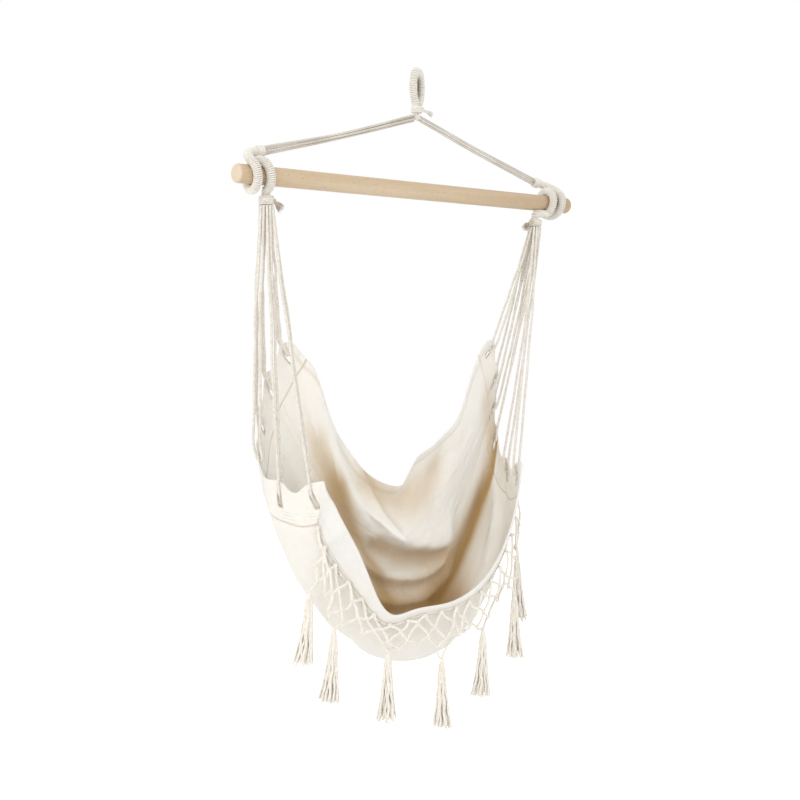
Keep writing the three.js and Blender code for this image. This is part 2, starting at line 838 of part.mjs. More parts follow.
class NetSkin {
  constructor() {
    this.points = [];
    this.triangles = [];
  }
  addPoint(point) {
    return this.points.push(point) - 1;
  }
  quad(a, b, c, d) {
    this.triangles.push(a, b, c, a, c, d);
  }
  addKnot(centre, right, up) {
    const radius = netKnotDiameter / 2;
    const front = right.clone().cross(up).normalize();
    const directions = [up, right, up.clone().negate(), right.clone().negate()];
    const place = (direction, depth) =>
      centre.clone().addScaledVector(direction, radius).addScaledVector(front, depth * radius);
    const corners = directions.map((direction) => ({
      front: this.addPoint(place(direction, knotDepthShare)),
      back: this.addPoint(place(direction, -knotDepthShare)),
    }));
    const crown = this.addPoint(centre.clone().addScaledVector(front, knotCrownShare * radius));
    const base = this.addPoint(centre.clone().addScaledVector(front, -knotCrownShare * radius));
    const knot = { front, sides: [] };
    corners.forEach((corner, k) => {
      const next = corners[(k + 1) % 4];
      this.triangles.push(crown, next.front, corner.front, base, corner.back, next.back);
      knot.sides.push({ rim: [corner.front, next.front, next.back, corner.back], used: false });
    });
    return knot;
  }
  // The square end of a cord on one side of a knot, joined to that side's rim
  openPort(knot, k) {
    const { rim } = knot.sides[k];
    knot.sides[k].used = true;
    const [from, to] = [this.points[rim[0]], this.points[rim[1]]];
    const middle = from.clone().add(this.points[rim[2]]).multiplyScalar(0.5);
    const half = netCordDiameter / 2;
    const along = to.clone().sub(from).setLength(half);
    const depth = knot.front.clone().setLength(half);
    const port = [
      middle.clone().sub(along).add(depth),
      middle.clone().add(along).add(depth),
      middle.clone().add(along).sub(depth),
      middle.clone().sub(along).sub(depth),
    ].map((point) => this.addPoint(point));
    for (let j = 0; j < 4; j++) this.quad(rim[j], rim[(j + 1) % 4], port[(j + 1) % 4], port[j]);
    return port;
  }
  addCord(knotA, sideA, knotB, sideB) {
    const portA = this.openPort(knotA, sideA);
    const portB = this.openPort(knotB, sideB);
    const facing = [1, 0, 3, 2].map((j) => portB[j]);
    for (let j = 0; j < 4; j++) this.quad(portA[j], portA[(j + 1) % 4], facing[(j + 1) % 4], facing[j]);
  }
  closeSides(knot) {
    for (const side of knot.sides) if (!side.used) this.quad(...side.rim);
  }
}

function makeNetting() {
  const centres = knotCentres();
  const skin = new NetSkin();
  const knots = centres.map((row, r) =>
    row.map((centre, i) => {
      if (!centre) return null;
      const tied = r === centres.length - 1;
      const left = netPointBeside(r, i, -1);
      const right = tied ? v3(1, 0, 0) : netPointBeside(r, i, 1).sub(left).normalize();
      const up = v3(0, 0, 1).addScaledVector(right, -right.z).normalize();
      return skin.addKnot(centre, right, up);
    }),
  );
  for (let row = 1; row < knots.length; row++)
    knots[row].forEach((knot, i) => {
      if (!knot) return;
      const first = row % 2 === 1 ? i : i - 1;
      const [upLeft, upRight] = [knots[row - 1][first], knots[row - 1][first + 1]];
      if (upLeft) skin.addCord(knot, 3, upLeft, 1);
      if (upRight) skin.addCord(knot, 0, upRight, 2);
    });
  for (const knot of knots.flat()) if (knot) skin.closeSides(knot);
  const geometry = new THREE.BufferGeometry();
  geometry.setAttribute("position", new THREE.Float32BufferAttribute(skin.points.flatMap((p) => p.toArray()), 3));
  geometry.setIndex(skin.triangles);
  addPiece("netting", geometry, cotton);
}

// A point half a cell to one side of a knot, in its own row
function netPointBeside(row, cell, sign) {
  const offset = row % 2 === 1 ? 0.5 : 0;
  return netPoint((2 * (cell + offset + sign / 2)) / netCells - 1, rowShares[row]);
}

function makeTassels() {
  tasselPlaces.forEach((place, i) => {
    const knot = tasselKnotDiameter / 2;
    const neck = tasselNeckDiameter / 2;
    const skirt = tasselSkirtDiameter / 2;
    const top = netPoint(place, 1);
    addPiece(
      "tassel_" + (i + 1),
      turnedBetween(
        top,
        top.clone().add(v3(0, 0, -tasselLength)),
        [
          [0, 0],
          [knot * 0.7, knot * 0.3],
          [knot, knot],
          [knot * 0.75, knot * 1.8],
          [neck, knot * 2.3],
          [neck * 1.15, tasselLength * 0.35],
          [skirt * 0.72, tasselLength * 0.72],
          [skirt, tasselLength * 0.96],
          [skirt * 0.85, tasselLength],
          [0, tasselLength],
        ],
        10,
      ),
      cotton,
    );
  });
}

makeHangingEye();
makeThroat();
makeTail(
  "throat_tail",
  v3(throatDiameter / 2 + fitGap, -fitGap, throatBottomZ + throatHeight * 0.6),
  v3(tailLength * 0.6, -tailLength * 0.4, -tailLength * 0.1),
);
makeApexKnot();
makeBar();
for (const side of sides) {
  makeSuspension(side);
  makeTopWhipping(side);
  makeHitch(side);
  makeBinding(side);
  makeSeatCords(side);
}
makeSeatFabric();
makeNetting();
makeTassels();

export default part;
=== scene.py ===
import math

import bpy
import numpy as np
from mathutils import Matrix, Vector


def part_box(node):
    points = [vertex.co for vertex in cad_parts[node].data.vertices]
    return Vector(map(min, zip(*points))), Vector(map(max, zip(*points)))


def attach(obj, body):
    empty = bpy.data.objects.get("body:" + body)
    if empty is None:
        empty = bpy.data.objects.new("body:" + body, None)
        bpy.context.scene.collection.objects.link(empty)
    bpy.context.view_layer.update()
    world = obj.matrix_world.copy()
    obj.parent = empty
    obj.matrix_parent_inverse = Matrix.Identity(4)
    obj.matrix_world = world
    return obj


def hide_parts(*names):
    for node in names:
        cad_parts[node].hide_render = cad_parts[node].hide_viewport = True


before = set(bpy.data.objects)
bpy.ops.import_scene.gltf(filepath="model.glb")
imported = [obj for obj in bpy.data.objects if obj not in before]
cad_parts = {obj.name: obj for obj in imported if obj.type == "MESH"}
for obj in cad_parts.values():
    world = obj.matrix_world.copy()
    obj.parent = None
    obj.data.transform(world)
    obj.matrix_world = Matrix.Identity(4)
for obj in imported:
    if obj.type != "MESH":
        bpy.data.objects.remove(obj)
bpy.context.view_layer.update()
scene = bpy.context.scene
cordSides = 12  # sides of a laid cord's section
goldenAngle = 2.399963  # radians from one strand to the next, for an even spread over a round


# Tools for numbers and lines


def smooth(value, low, high):
    share = np.clip((value - low) / (high - low), 0, 1)
    return share * share * (3 - 2 * share)


def bump(value, centre, width):
    return np.exp(-(((value - centre) / width) ** 2))


def unit(vectors):
    return vectors / np.maximum(np.linalg.norm(vectors, axis=-1, keepdims=True), 1e-12)


def turned(points, degrees, axis="Z"):
    return np.asarray(points) @ np.array(Matrix.Rotation(math.radians(degrees), 3, axis)).T


# The way run along a line at each of its points
def runningLength(points):
    return np.concatenate([[0], np.cumsum(np.linalg.norm(np.diff(points, axis=0), axis=1))])


# The slope of a smooth curve at the middle one of three points, first and second being its spans
def slope(before, here, after, first, second):
    return (here - before) / first - (after - before) / (first + second) + (after - here) / second


# Close samples of a smooth curve through the points, and the way run at each
def routeThrough(points, steps=60):
    given = np.asarray(points, float)
    padded = np.vstack([2 * given[0] - given[1], given, 2 * given[-1] - given[-2]])
    shares = np.linspace(0, 1, steps, endpoint=False)[:, None]
    parts = []
    for i in range(1, len(padded) - 2):
        near = padded[i - 1 : i + 3]
        before, start, end, after = near
        first, middle, last = np.maximum(np.linalg.norm(np.diff(near, axis=0), axis=1) ** 0.5, 1e-6)
        leave = slope(before, start, end, first, middle) * middle
        arrive = slope(start, end, after, middle, last) * middle
        bend = -3 * start + 3 * end - 2 * leave - arrive
        twist = 2 * start - 2 * end + leave + arrive
        parts.append(start + leave * shares + bend * shares**2 + twist * shares**3)
    samples = np.vstack(parts + [given[-1:]])
    return samples, runningLength(samples)


def atShares(route, shares):
    samples, lengths = route
    places = np.clip(shares, 0, 1) * lengths[-1]
    return np.stack([np.interp(places, lengths, samples[:, k]) for k in range(3)], -1)


def evenPath(points, spacing):
    route = routeThrough(points)
    count = max(4, int(round(route[1][-1] / spacing)))
    return atShares(route, np.linspace(0, 1, count + 1))


# Two side directions at every point of a path, carried along it without twisting
def sideDirections(path):
    tangents = unit(np.gradient(path, axis=0))
    start = np.array([0.0, 1.0, 0.0]) if abs(tangents[0][1]) < 0.8 else np.array([1.0, 0.0, 0.0])
    side = unit(start - tangents[0] * start.dot(tangents[0]))
    sides = [side]
    for tangent in tangents[1:]:
        side = unit(side - tangent * side.dot(tangent))
        sides.append(side)
    return np.array(sides), np.cross(tangents, sides)


# The radius of a laid cord: strands that turn round it once per lay length
def laidRadii(path, radius, strands=3, lay=0.02, depth=0.16):
    angles = np.arange(cordSides) / cordSides * 2 * math.pi
    phase = strands / 2 * (angles - 2 * math.pi * runningLength(path)[:, None] / lay)
    return radius * (1 - depth + depth * np.abs(np.cos(phase)))


# Tools for mesh objects


def link(obj):
    scene.collection.objects.link(obj)
    return obj


def addObject(name, points, edges, faces):
    mesh = bpy.data.meshes.new(name)
    mesh.from_pydata(np.asarray(points).tolist(), edges, faces)
    return link(bpy.data.objects.new(name, mesh))


def meshObject(name, points, faces, uvs, material):
    obj = addObject(name, points, [], faces)
    corners = np.empty(len(obj.data.loops), int)
    obj.data.loops.foreach_get("vertex_index", corners)
    layer = obj.data.uv_layers.new(name="UVMap")
    layer.data.foreach_set("uv", uvs[corners].ravel())
    obj.data.shade_smooth()
    obj.data.materials.append(material)
    return obj


def setValues(obj, name, values):
    obj.data.attributes.new(name, "FLOAT", "POINT").data.foreach_set("value", values)


# Faces between the neighbours in rows and columns of point numbers
def gridFaces(spots):
    return np.stack([spots[:-1, :-1], spots[:-1, 1:], spots[1:, 1:], spots[1:, :-1]], -1)


# A closed tube whose radius may change along it and round it
def tube(name, path, radii, material, sides=cordSides):
    across, over = sideDirections(path)
    count = len(path)
    angles = np.arange(sides) / sides * 2 * math.pi
    spokes = across[:, None] * np.cos(angles)[:, None] + over[:, None] * np.sin(angles)[:, None]
    rings = path[:, None] + spokes * np.broadcast_to(radii, (count, sides))[..., None]
    spots = np.arange(count * sides).reshape(count, sides)
    spots = np.hstack([spots, spots[:, :1]])
    faces = gridFaces(spots).reshape(-1, 4).tolist()
    for k in range(sides):
        faces.append((count * sides, int(spots[0, k + 1]), k))
        faces.append((count * sides + 1, int(spots[-1, k]), int(spots[-1, k + 1])))
    along = runningLength(path)
    u = np.concatenate([np.repeat(along, sides), [0], along[-1:]])
    v = np.concatenate([np.tile(angles / (2 * math.pi), count), [0, 0]])
    points = np.vstack([rings.reshape(-1, 3), path[:1], path[-1:]])
    return meshObject(name, points, faces, np.stack([u, v], -1), material)


def joined(name, objects):
    bpy.ops.object.select_all(action="DESELECT")
    for obj in objects:
        obj.select_set(True)
    bpy.context.view_layer.objects.active = objects[0]
    bpy.ops.object.join()
    objects[0].name = name
    objects[0].data.name = name
    return objects[0]


def settle(obj, body, slot, *replaced):
    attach(obj, body)
    if replaced:
        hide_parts(*replaced)


# Tools for node trees


def feed(tree, socket, value):
    if isinstance(value, Wire):
        value = value.socket
    if isinstance(value, bpy.types.NodeSocket):
        tree.links.new(value, socket)
    else:
        socket.default_value = value


def addNode(tree, kind, inputs=None, **settings):
    node = tree.nodes.new(kind)
    for key, value in settings.items():
        setattr(node, key, value)
    for key, value in (inputs or {}).items():
        feed(tree, node.inputs[key], value)
    return node


# The output of a node; sums and products of it add the Math nodes
class Wire:
    def __init__(self, tree, socket):
        self.tree, self.socket = tree, socket

    def math(self, operation, *others):
        inputs = dict(enumerate((self, *others)))
        return Wire(self.tree, addNode(self.tree, "ShaderNodeMath", inputs, operation=operation).outputs[0])

    def __add__(self, other):
        return self.math("ADD", other)

    def __mul__(self, other):
        return self.math("MULTIPLY", other)

    def __sub__(self, other):
        return self.math("SUBTRACT", other)

    def __rsub__(self, other):
        return (self * -1) + other

    def __truediv__(self, other):
        return self.math("DIVIDE", other)

    __radd__, __rmul__ = __add__, __mul__


# A node tree that answers each new node with the wire of one output
class Tree:
    def __init__(self, tree):
        self.tree = tree

    def add(self, kind, inputs=None, output=0, **settings):
        return Wire(self.tree, addNode(self.tree, kind, inputs, **settings).outputs[output])


# One finish: a Principled shader, what is the same all over it, and the nodes that feed it
class Finish(Tree):
    def __init__(self, name, constants):
        self.material = bpy.data.materials.new(name)
        self.material.use_nodes = True
        super().__init__(self.material.node_tree)
        self.shader = self.tree.nodes["Principled BSDF"]
        for key, value in constants.items():
            self.give(key, value)

    def give(self, key, value):
        feed(self.tree, self.shader.inputs[key], value)

    def place(self, source="Object"):
        return self.add("ShaderNodeTexCoord", output=source)

    def noise(self, scale, source="Object", detail=3.0, roughness=0.55):
        scaled = self.add("ShaderNodeMapping", {"Vector": self.place(source), "Scale": scale})
        inputs = {"Vector": scaled, "Scale": 1.0, "Detail": detail, "Roughness": roughness}
        return self.add("ShaderNodeTexNoise", inputs)

    def axes(self, source):
        parts = addNode(self.tree, "ShaderNodeSeparateXYZ", {0: self.place(source)})
        return [Wire(self.tree, output) for output in parts.outputs]

    def painted(self, attribute):
        return self.add("ShaderNodeAttribute", output="Fac", attribute_name=attribute)

    def steps(self, value, low, high):
        inputs = {"Value": value, "From Min": low, "From Max": high}
        return self.add("ShaderNodeMapRange", inputs, interpolation_type="SMOOTHSTEP")

    def mix(self, share, first, second):
        return self.add("ShaderNodeMix", {0: share, 6: first, 7: second}, 2, data_type="RGBA")

    def relief(self, *layers):
        inputs = {"Strength": 1.0}
        for height, distance in layers:
            inputs |= {"Height": height, "Distance": distance}
            inputs["Normal"] = self.add("ShaderNodeBump", inputs)
        self.give("Normal", inputs["Normal"])


def rgb(red, green, blue):
    return (red, green, blue, 1.0)


# Finishes

canvasLook = {
    "light": rgb(0.92, 0.895, 0.85),
    "warm": rgb(0.895, 0.86, 0.795),
    # foldShade is painted shade, for the inner side deep in the folds where little light reaches
    "foldShade": rgb(0.50, 0.33, 0.13),  # where the cloth lies deep in a fold
    # seamShade is painted shade along the seam lines and round the buttonhole slits
    "seamShade": rgb(0.40, 0.28, 0.16),
    "speck": rgb(0.5, 0.38, 0.24),  # husks left in the cotton
    "thread": 0.0014,  # width of one thread of the weave
    "relief": (0.0045, 0.0035, 0.0006, 0.00012),  # heights of crumples, creases, slubs and weave
}


# Painted shade: the inner side darkens in the hollows of the folds, and both sides darken along the stitched
# seams and round the buttonhole slits
def makeCanvasFinish(name, paintsFoldShade):
    look = canvasLook
    finish = Finish(name, {
        "Sheen Weight": 0.12, "Sheen Roughness": 0.5, "Specular IOR Level": 0.25,
        "Subsurface Weight": 0.45, "Subsurface Radius": (1.0, 0.9, 0.8), "Subsurface Scale": 0.003,
    })
    u, v, _ = finish.axes("UV")
    turn = math.pi / look["thread"]
    weave = (u * turn).math("SINE") * (v * turn).math("SINE")
    slubs = finish.noise((60, 1400, 1), "UV", 2.0) + finish.noise((1400, 60, 1), "UV", 2.0)
    crumple = finish.noise((26, 26, 26), detail=4.0, roughness=0.6)
    creased = finish.noise((11, 34, 1), "UV", 3.0, 0.5)
    broad = finish.noise((5, 5, 5), detail=2.0)
    tone = finish.steps(broad * 0.6 + slubs * 0.2 + crumple * 0.2, 0.42, 0.66)
    colour = finish.mix(tone, look["light"], look["warm"])
    specks = finish.steps(finish.noise((520, 520, 520), detail=1.0), 0.735, 0.76)
    colour = finish.mix(specks * 0.5, colour, look["speck"])
    # painted shade in the hollows of the folds, on the inner side only
    if paintsFoldShade:
        colour = finish.mix(finish.painted("shade"), colour, look["foldShade"])
    finish.give("Base Color", finish.mix(finish.painted("seamShade"), colour, look["seamShade"]))
    finish.give("Roughness", slubs * 0.12 + 0.78)
    finish.relief(*zip((crumple, creased, slubs, weave), look["relief"]))
    return finish.material


# gap is painted shade for the gaps between threads
cottonLook = {"gap": rgb(0.33, 0.27, 0.2), "shadow": rgb(0.13, 0.095, 0.06)}


# Painted shade in the gaps between threads that lie side by side makes dark streaks
def makeCottonFinish(name, light, warm, fibre=0.0006, gapShadeWeight=0.0):
    finish = Finish(name, {"Sheen Weight": 0.2, "Sheen Roughness": 0.4, "Specular IOR Level": 0.2})
    fibres = finish.noise((700, 700, 700), detail=2.0)
    lumps = finish.noise((14, 3, 1), "UV") if gapShadeWeight else finish.noise((150, 150, 150), detail=2.0)
    colour = finish.mix(finish.steps(lumps * 0.5 + fibres * 0.5, 0.38, 0.66), rgb(*light), rgb(*warm))
    if gapShadeWeight:
        # painted shade in the gaps between the threads
        threads = finish.steps(finish.noise((9, 16, 1), "UV", 2.0), 0.44, 0.6)
        colour = finish.mix(threads * gapShadeWeight, colour, cottonLook["gap"])
    finish.give("Base Color", finish.mix(finish.painted("shade"), colour, cottonLook["shadow"]))
    finish.give("Roughness", fibres * 0.2 + 0.8)
    finish.relief((lumps, fibre * 1.5), (fibres, fibre))
    return finish.material


beechLook = {
    "pale": rgb(0.665, 0.535, 0.375),
    "mid": rgb(0.60, 0.455, 0.295),
    # fleckAndShade is the colour of the flecks, and also painted shade towards the right end
    "fleckAndShade": rgb(0.40, 0.27, 0.16),
    "end": rgb(0.73, 0.60, 0.455),
    "endFace": (0.445, 0.448),  # where the end grain begins, from the bar's middle
    "centre": (0.008, 0.0, -0.230),
}


def makeBeechFinish():
    look = beechLook
    finish = Finish("beech", {"Specular IOR Level": 0.35})
    x, y, z = finish.axes("Object")
    long = finish.noise((3, 90, 90), detail=4.0, roughness=0.6)
    bands = finish.noise((1.2, 38, 38), detail=2.0)
    grain = finish.steps(long * 0.55 + bands * 0.45, 0.36, 0.64)
    flecks = finish.steps(finish.noise((160, 1300, 1300), detail=1.0), 0.60, 0.68)
    colour = finish.mix(grain, look["pale"], look["mid"])
    colour = finish.mix(flecks * 0.42, colour, look["fleckAndShade"])
    across = y - look["centre"][1]
    up = z - look["centre"][2]
    radius = (across * across + up * up).math("SQRT")
    rings = (radius * 1500 + finish.noise((60, 60, 60)) * 6).math("SINE")
    endMask = finish.steps((x - look["centre"][0]).math("ABSOLUTE"), *look["endFace"])
    # painted shade: darker towards the right end, away from the light
    colour = finish.mix(finish.steps(x, -0.1, 0.5) * 0.5, colour, look["fleckAndShade"])  # deeper to the right
    colour = finish.mix(endMask, colour, look["end"])
    colour = finish.mix(endMask * finish.steps(rings, -0.4, 1.0) * 0.2, colour, look["mid"])
    finish.give("Base Color", colour)
    finish.give("Roughness", grain * 0.14 + flecks * 0.08 + 0.42)
    finish.relief((grain, 0.0002), (flecks * -1, 0.00012))
    return finish.material


canvas = makeCanvasFinish("natural canvas", True)
canvasBack = makeCanvasFinish("natural canvas outside", False)
ropeCotton = makeCottonFinish("twisted cotton", (0.82, 0.785, 0.72), (0.68, 0.62, 0.535))
bandCotton = makeCottonFinish(
    "parallel cotton threads", (0.76, 0.725, 0.66), (0.68, 0.635, 0.56), 0.0002, gapShadeWeight=0.55
)
servedCotton = makeCottonFinish("served cotton thread", (0.86, 0.83, 0.775), (0.78, 0.735, 0.66), 0.0003)
frayedCotton = makeCottonFinish("frayed cotton", (0.66, 0.59, 0.49), (0.50, 0.43, 0.34), 0.0003)
# The stitching thread is painted darker than the cloth, as shade along the stitched rows
shadedStitchCotton = makeCottonFinish("stitching thread", (0.66, 0.58, 0.46), (0.56, 0.48, 0.36), 0.0001)
fringeCotton = makeCottonFinish("fringe cotton", (0.91, 0.875, 0.81), (0.79, 0.73, 0.635))
beech = makeBeechFinish()
print("finishes made")


# Node trees for cords, wound thread, knots and stitches


class Maker(Tree):
    def __init__(self, name, sizes):
        super().__init__(bpy.data.node_groups.new(name, "GeometryNodeTree"))
        labels = {"Guide": "Geometry"} | sizes | {"Material": "Material"}
        for label, kind in labels.items():
            self.tree.interface.new_socket(label, in_out="INPUT", socket_type="NodeSocket" + kind)
        self.tree.interface.new_socket("Result", in_out="OUTPUT", socket_type="NodeSocketGeometry")
        given = self.tree.nodes.new("NodeGroupInput")
        self.given = {label: Wire(self.tree, given.outputs[label]) for label in labels}
        self.result = self.tree.nodes.new("NodeGroupOutput")

    def line(self):
        return self.add("GeometryNodeMeshToCurve", {"Mesh": self.given["Guide"]})

    def swept(self, curve, sides, radius, scale=None):
        ring = self.add("GeometryNodeCurvePrimitiveCircle", {"Resolution": sides, "Radius": radius})
        inputs = {"Curve": curve, "Profile Curve": ring, "Fill Caps": True}
        body = addNode(self.tree, "GeometryNodeCurveToMesh", inputs)
        if scale and "Scale" in body.inputs:  # later versions of Blender take the radius here
            feed(self.tree, body.inputs["Scale"], scale)
        return Wire(self.tree, body.outputs[0])

    def placed(self, points, instance, rotation, scale=(1, 1, 1)):
        inputs = {"Points": points, "Instance": instance, "Rotation": rotation, "Scale": scale}
        return self.add("GeometryNodeInstanceOnPoints", inputs)

    def finish(self, geometry):
        shaded = self.add("GeometryNodeSetShadeSmooth", {"Geometry": geometry})
        real = self.add("GeometryNodeRealizeInstances", {0: shaded})
        inputs = {"Geometry": real, "Material": self.given["Material"]}
        feed(self.tree, self.result.inputs[0], self.add("GeometryNodeSetMaterial", inputs))
        return self.tree


# Cords along guide lines; the guide's "thickness" attribute is the radius at each point
def makeCordBodies():
    maker = Maker("cord bodies", {"Sides": "Int"})
    thickness = maker.add("GeometryNodeInputNamedAttribute", {"Name": "thickness"}, data_type="FLOAT")
    lines = maker.add("GeometryNodeSetCurveRadius", {"Curve": maker.line(), "Radius": thickness})
    return maker.finish(maker.swept(lines, maker.given["Sides"], 1.0, thickness))


# Thread wound round a path at an even pitch
def makeWoundThread():
    maker = Maker("wound thread", {"Pitch": "Float", "Core Radius": "Float", "Thread Radius": "Float"})
    turnSteps = 14
    line, thread = maker.line(), maker.given["Thread Radius"]
    count = maker.add("GeometryNodeCurveLength", {0: line}) / maker.given["Pitch"] * turnSteps
    even = maker.add("GeometryNodeResampleCurve", {"Curve": line, "Count": count})
    angle = maker.add("GeometryNodeInputIndex") * (2 * math.pi / turnSteps)
    normal, tangent = maker.add("GeometryNodeInputNormal"), maker.add("GeometryNodeInputTangent")
    inputs = {"Vector": normal, "Axis": tangent, "Angle": angle}
    spoke = maker.add("ShaderNodeVectorRotate", inputs, rotation_type="AXIS_ANGLE")
    reach = maker.given["Core Radius"] + thread * 0.9
    offset = maker.add("ShaderNodeVectorMath", {"Vector": spoke, "Scale": reach}, operation="SCALE")
    wound = maker.add("GeometryNodeSetPosition", {"Geometry": even, "Offset": offset})
    return maker.finish(maker.swept(wound, 6, thread))


# A small wrapped knot at each guide point, each turned its own way
def makeKnots():
    maker = Maker("small knots", {"Knot Radius": "Float", "Cord Radius": "Float", "Seed": "Int"})
    knotRadius, cord = maker.given["Knot Radius"], maker.given["Cord Radius"]
    reach = knotRadius - cord
    wrap = maker.add("GeometryNodeCurveSpiral", {
        "Resolution": 12, "Rotations": 2.0, "Start Radius": reach, "End Radius": reach, "Height": cord * 2.4,
    })
    middle = maker.add("ShaderNodeCombineXYZ", {"Z": cord * -1.2})
    centred = maker.add("GeometryNodeTransform", {"Geometry": wrap, "Translation": middle})
    core = maker.add("GeometryNodeMeshIcoSphere", {"Radius": knotRadius * 0.8, "Subdivisions": 2})
    knot = addNode(maker.tree, "GeometryNodeJoinGeometry")
    for piece in (maker.swept(centred, 7, cord), core):
        feed(maker.tree, knot.inputs[0], piece)
    limits = {0: (-0.7, -0.7, -3.1), 1: (0.7, 0.7, 3.1), "Seed": maker.given["Seed"]}  # radians
    turn = maker.add("FunctionNodeRandomValue", limits, data_type="FLOAT_VECTOR")
    return maker.finish(maker.placed(maker.given["Guide"], knot.outputs[0], turn))


# Short stitches along a line, each lying in the line's direction
def makeStitches():
    maker = Maker("stitches", {"Spacing": "Float", "Length": "Float", "Thread Radius": "Float"})
    thread = maker.given["Thread Radius"]
    inputs = {"Curve": maker.line(), "Length": maker.given["Spacing"]}
    spots = addNode(maker.tree, "GeometryNodeCurveToPoints", inputs, mode="LENGTH").outputs
    stitch = maker.add("GeometryNodeMeshIcoSphere", {"Radius": thread, "Subdivisions": 1})
    long = maker.given["Length"] / thread * 0.5
    stretch = maker.add("ShaderNodeCombineXYZ", {"X": 1.0, "Y": 1.0, "Z": long})
    return maker.finish(maker.placed(spots[0], stitch, spots["Rotation"], stretch))


cordBodies, woundThread = makeCordBodies(), makeWoundThread()
smallKnots, stitchRow = makeKnots(), makeStitches()


# Runs a tree on guide lines of bare edges and gives back a plain mesh; radii become the thickness
def grow(tree, name, lines, sizes, material, radii=None):
    edges, start = [], 0
    for line in lines:
        edges += [(start + k, start + k + 1) for k in range(len(line) - 1)]
        start += len(line)
    guide = addObject(name + "_guide", np.vstack(lines), edges, [])
    if radii is not None:
        thickness = [np.broadcast_to(radius, len(line)) for radius, line in zip(radii, lines)]
        setValues(guide, "thickness", np.concatenate(thickness))
    modifier = guide.modifiers.new("make", "NODES")
    modifier.node_group = tree
    given = sizes | {"Material": material}
    for item in tree.interface.items_tree:
        if item.in_out == "INPUT" and item.name in given:
            modifier[item.identifier] = given[item.name]
    depsgraph = bpy.context.evaluated_depsgraph_get()
    mesh = bpy.data.meshes.new_from_object(guide.evaluated_get(depsgraph), depsgraph=depsgraph)
    bpy.data.objects.remove(guide)
    mesh.name = name
    return link(bpy.data.objects.new(name, mesh))


def makeCords(name, lines, radii, sides, material):
    return grow(cordBodies, name, lines, {"Sides": sides}, material, radii)


def windThread(name, path, coreRadius, threadRadius, pitch, material):
    sizes = {"Pitch": pitch, "Core Radius": coreRadius, "Thread Radius": threadRadius}
    return grow(woundThread, name + "_thread", [path], sizes, material)


def tieKnots(name, points, radius, seed, material, cordRadius=None):
    sizes = {"Knot Radius": radius, "Cord Radius": cordRadius or radius * 0.42, "Seed": seed}
    return grow(smallKnots, name, [[point] for point in points], sizes, material)


def sewStitches(name, lines, spacing, length, threadRadius, material):
    sizes = {"Spacing": spacing, "Length": length, "Thread Radius": threadRadius}
    return grow(stitchRow, name, lines, sizes, material)


# Camera, lamps and floor

view = {
    "position": (-1.753, -1.911, -0.512),
    "yaw": 41.77,  # degrees from straight along +Y towards +X
    "pitch": 3.11,  # degrees down
    "lens": 57.33,
    "sensor": 36.0,
}
lighting = {
    "aim": (0, 0, -0.8),
    "sky": 1.05,
    "key": {"from": (-3.0, -1.3, 0.5), "size": 1.1, "watts": 17},
    "fill": {"from": (-2.8, -1.6, -1.1), "size": 2.0, "watts": 3},
}
floorLook = {"level": -1.95, "size": 14.0, "glow": 0.6, "paint": rgb(0.93, 0.925, 0.915)}


def lookAlong(obj, direction):
    obj.rotation_euler = direction.to_track_quat("-Z", "Y").to_euler()


def addCamera():
    yaw, pitch = math.radians(view["yaw"]), math.radians(view["pitch"])
    camera = link(bpy.data.objects.new("camera", bpy.data.cameras.new("camera")))
    camera.location = view["position"]
    level = math.cos(pitch)
    lookAlong(camera, Vector((math.sin(yaw) * level, math.cos(yaw) * level, -math.sin(pitch))))
    camera.data.lens, camera.data.sensor_width = view["lens"], view["sensor"]
    camera.data.clip_start, camera.data.clip_end = 0.05, 60
    scene.camera = camera
    scene.view_settings.view_transform = "Standard"


def addLamp(name):
    lamp = lighting[name]
    data = bpy.data.lights.new(name, "AREA")
    data.shape, data.size, data.energy = "DISK", lamp["size"], lamp["watts"]
    obj = link(bpy.data.objects.new(name, data))
    obj.location = lamp["from"]
    lookAlong(obj, Vector(lighting["aim"]) - obj.location)


# White to the camera and in reflections, and the sky's own strength for the light that it gives
def makeWorld():
    scene.world = bpy.data.worlds.new("studio")
    scene.world.use_nodes = True
    tree = scene.world.node_tree
    back = tree.nodes["Background"].inputs
    back["Color"].default_value = rgb(1, 1, 1)
    rays = addNode(tree, "ShaderNodeLightPath").outputs
    seen = Wire(tree, rays["Is Camera Ray"]) + Wire(tree, rays["Is Glossy Ray"])
    feed(tree, back["Strength"], seen.math("MINIMUM", 1.0) * (1 - lighting["sky"]) + lighting["sky"])


def makeFloor():
    finish = Finish("pale floor", {
        "Base Color": floorLook["paint"], "Roughness": 0.9, "Emission Color": rgb(1, 1, 1),
    })
    seen = finish.add("ShaderNodeLightPath", output="Is Camera Ray")
    finish.give("Emission Strength", seen * floorLook["glow"])
    corners = np.array([(-1, -1), (1, -1), (1, 1), (-1, 1)]) * floorLook["size"] / 2
    points = np.column_stack([corners, np.full(4, floorLook["level"])])
    meshObject("floor", points, [(0, 1, 2, 3)], corners, finish.material)


addCamera()
addLamp("key")
addLamp("fill")
makeWorld()
makeFloor()
print("camera, lamps and floor set")


# Served ropes, whippings and tails

serving = {"inset": 0.0002, "shade": 0.35, "sides": 20}  # the turns stay inside the rope's size
fray = {"strands": 64, "radius": 0.0006, "sag": 0.18}


# A rope covered in thread: a plain core and the turns over it
def servedRope(name, path, rope):
    thread = rope["threadRadius"]
    coreRadius = rope["ropeDiameter"] / 2 - serving["inset"] - thread * 1.9
    core = tube(name + "_core", path, coreRadius + thread * 0.4, servedCotton, serving["sides"])
    setValues(core, "shade", np.full(len(core.data.vertices), serving["shade"]))
    turns = windThread(name, path, coreRadius, thread, rope["threadPitch"], servedCotton)
    return joined(name, [core, turns])


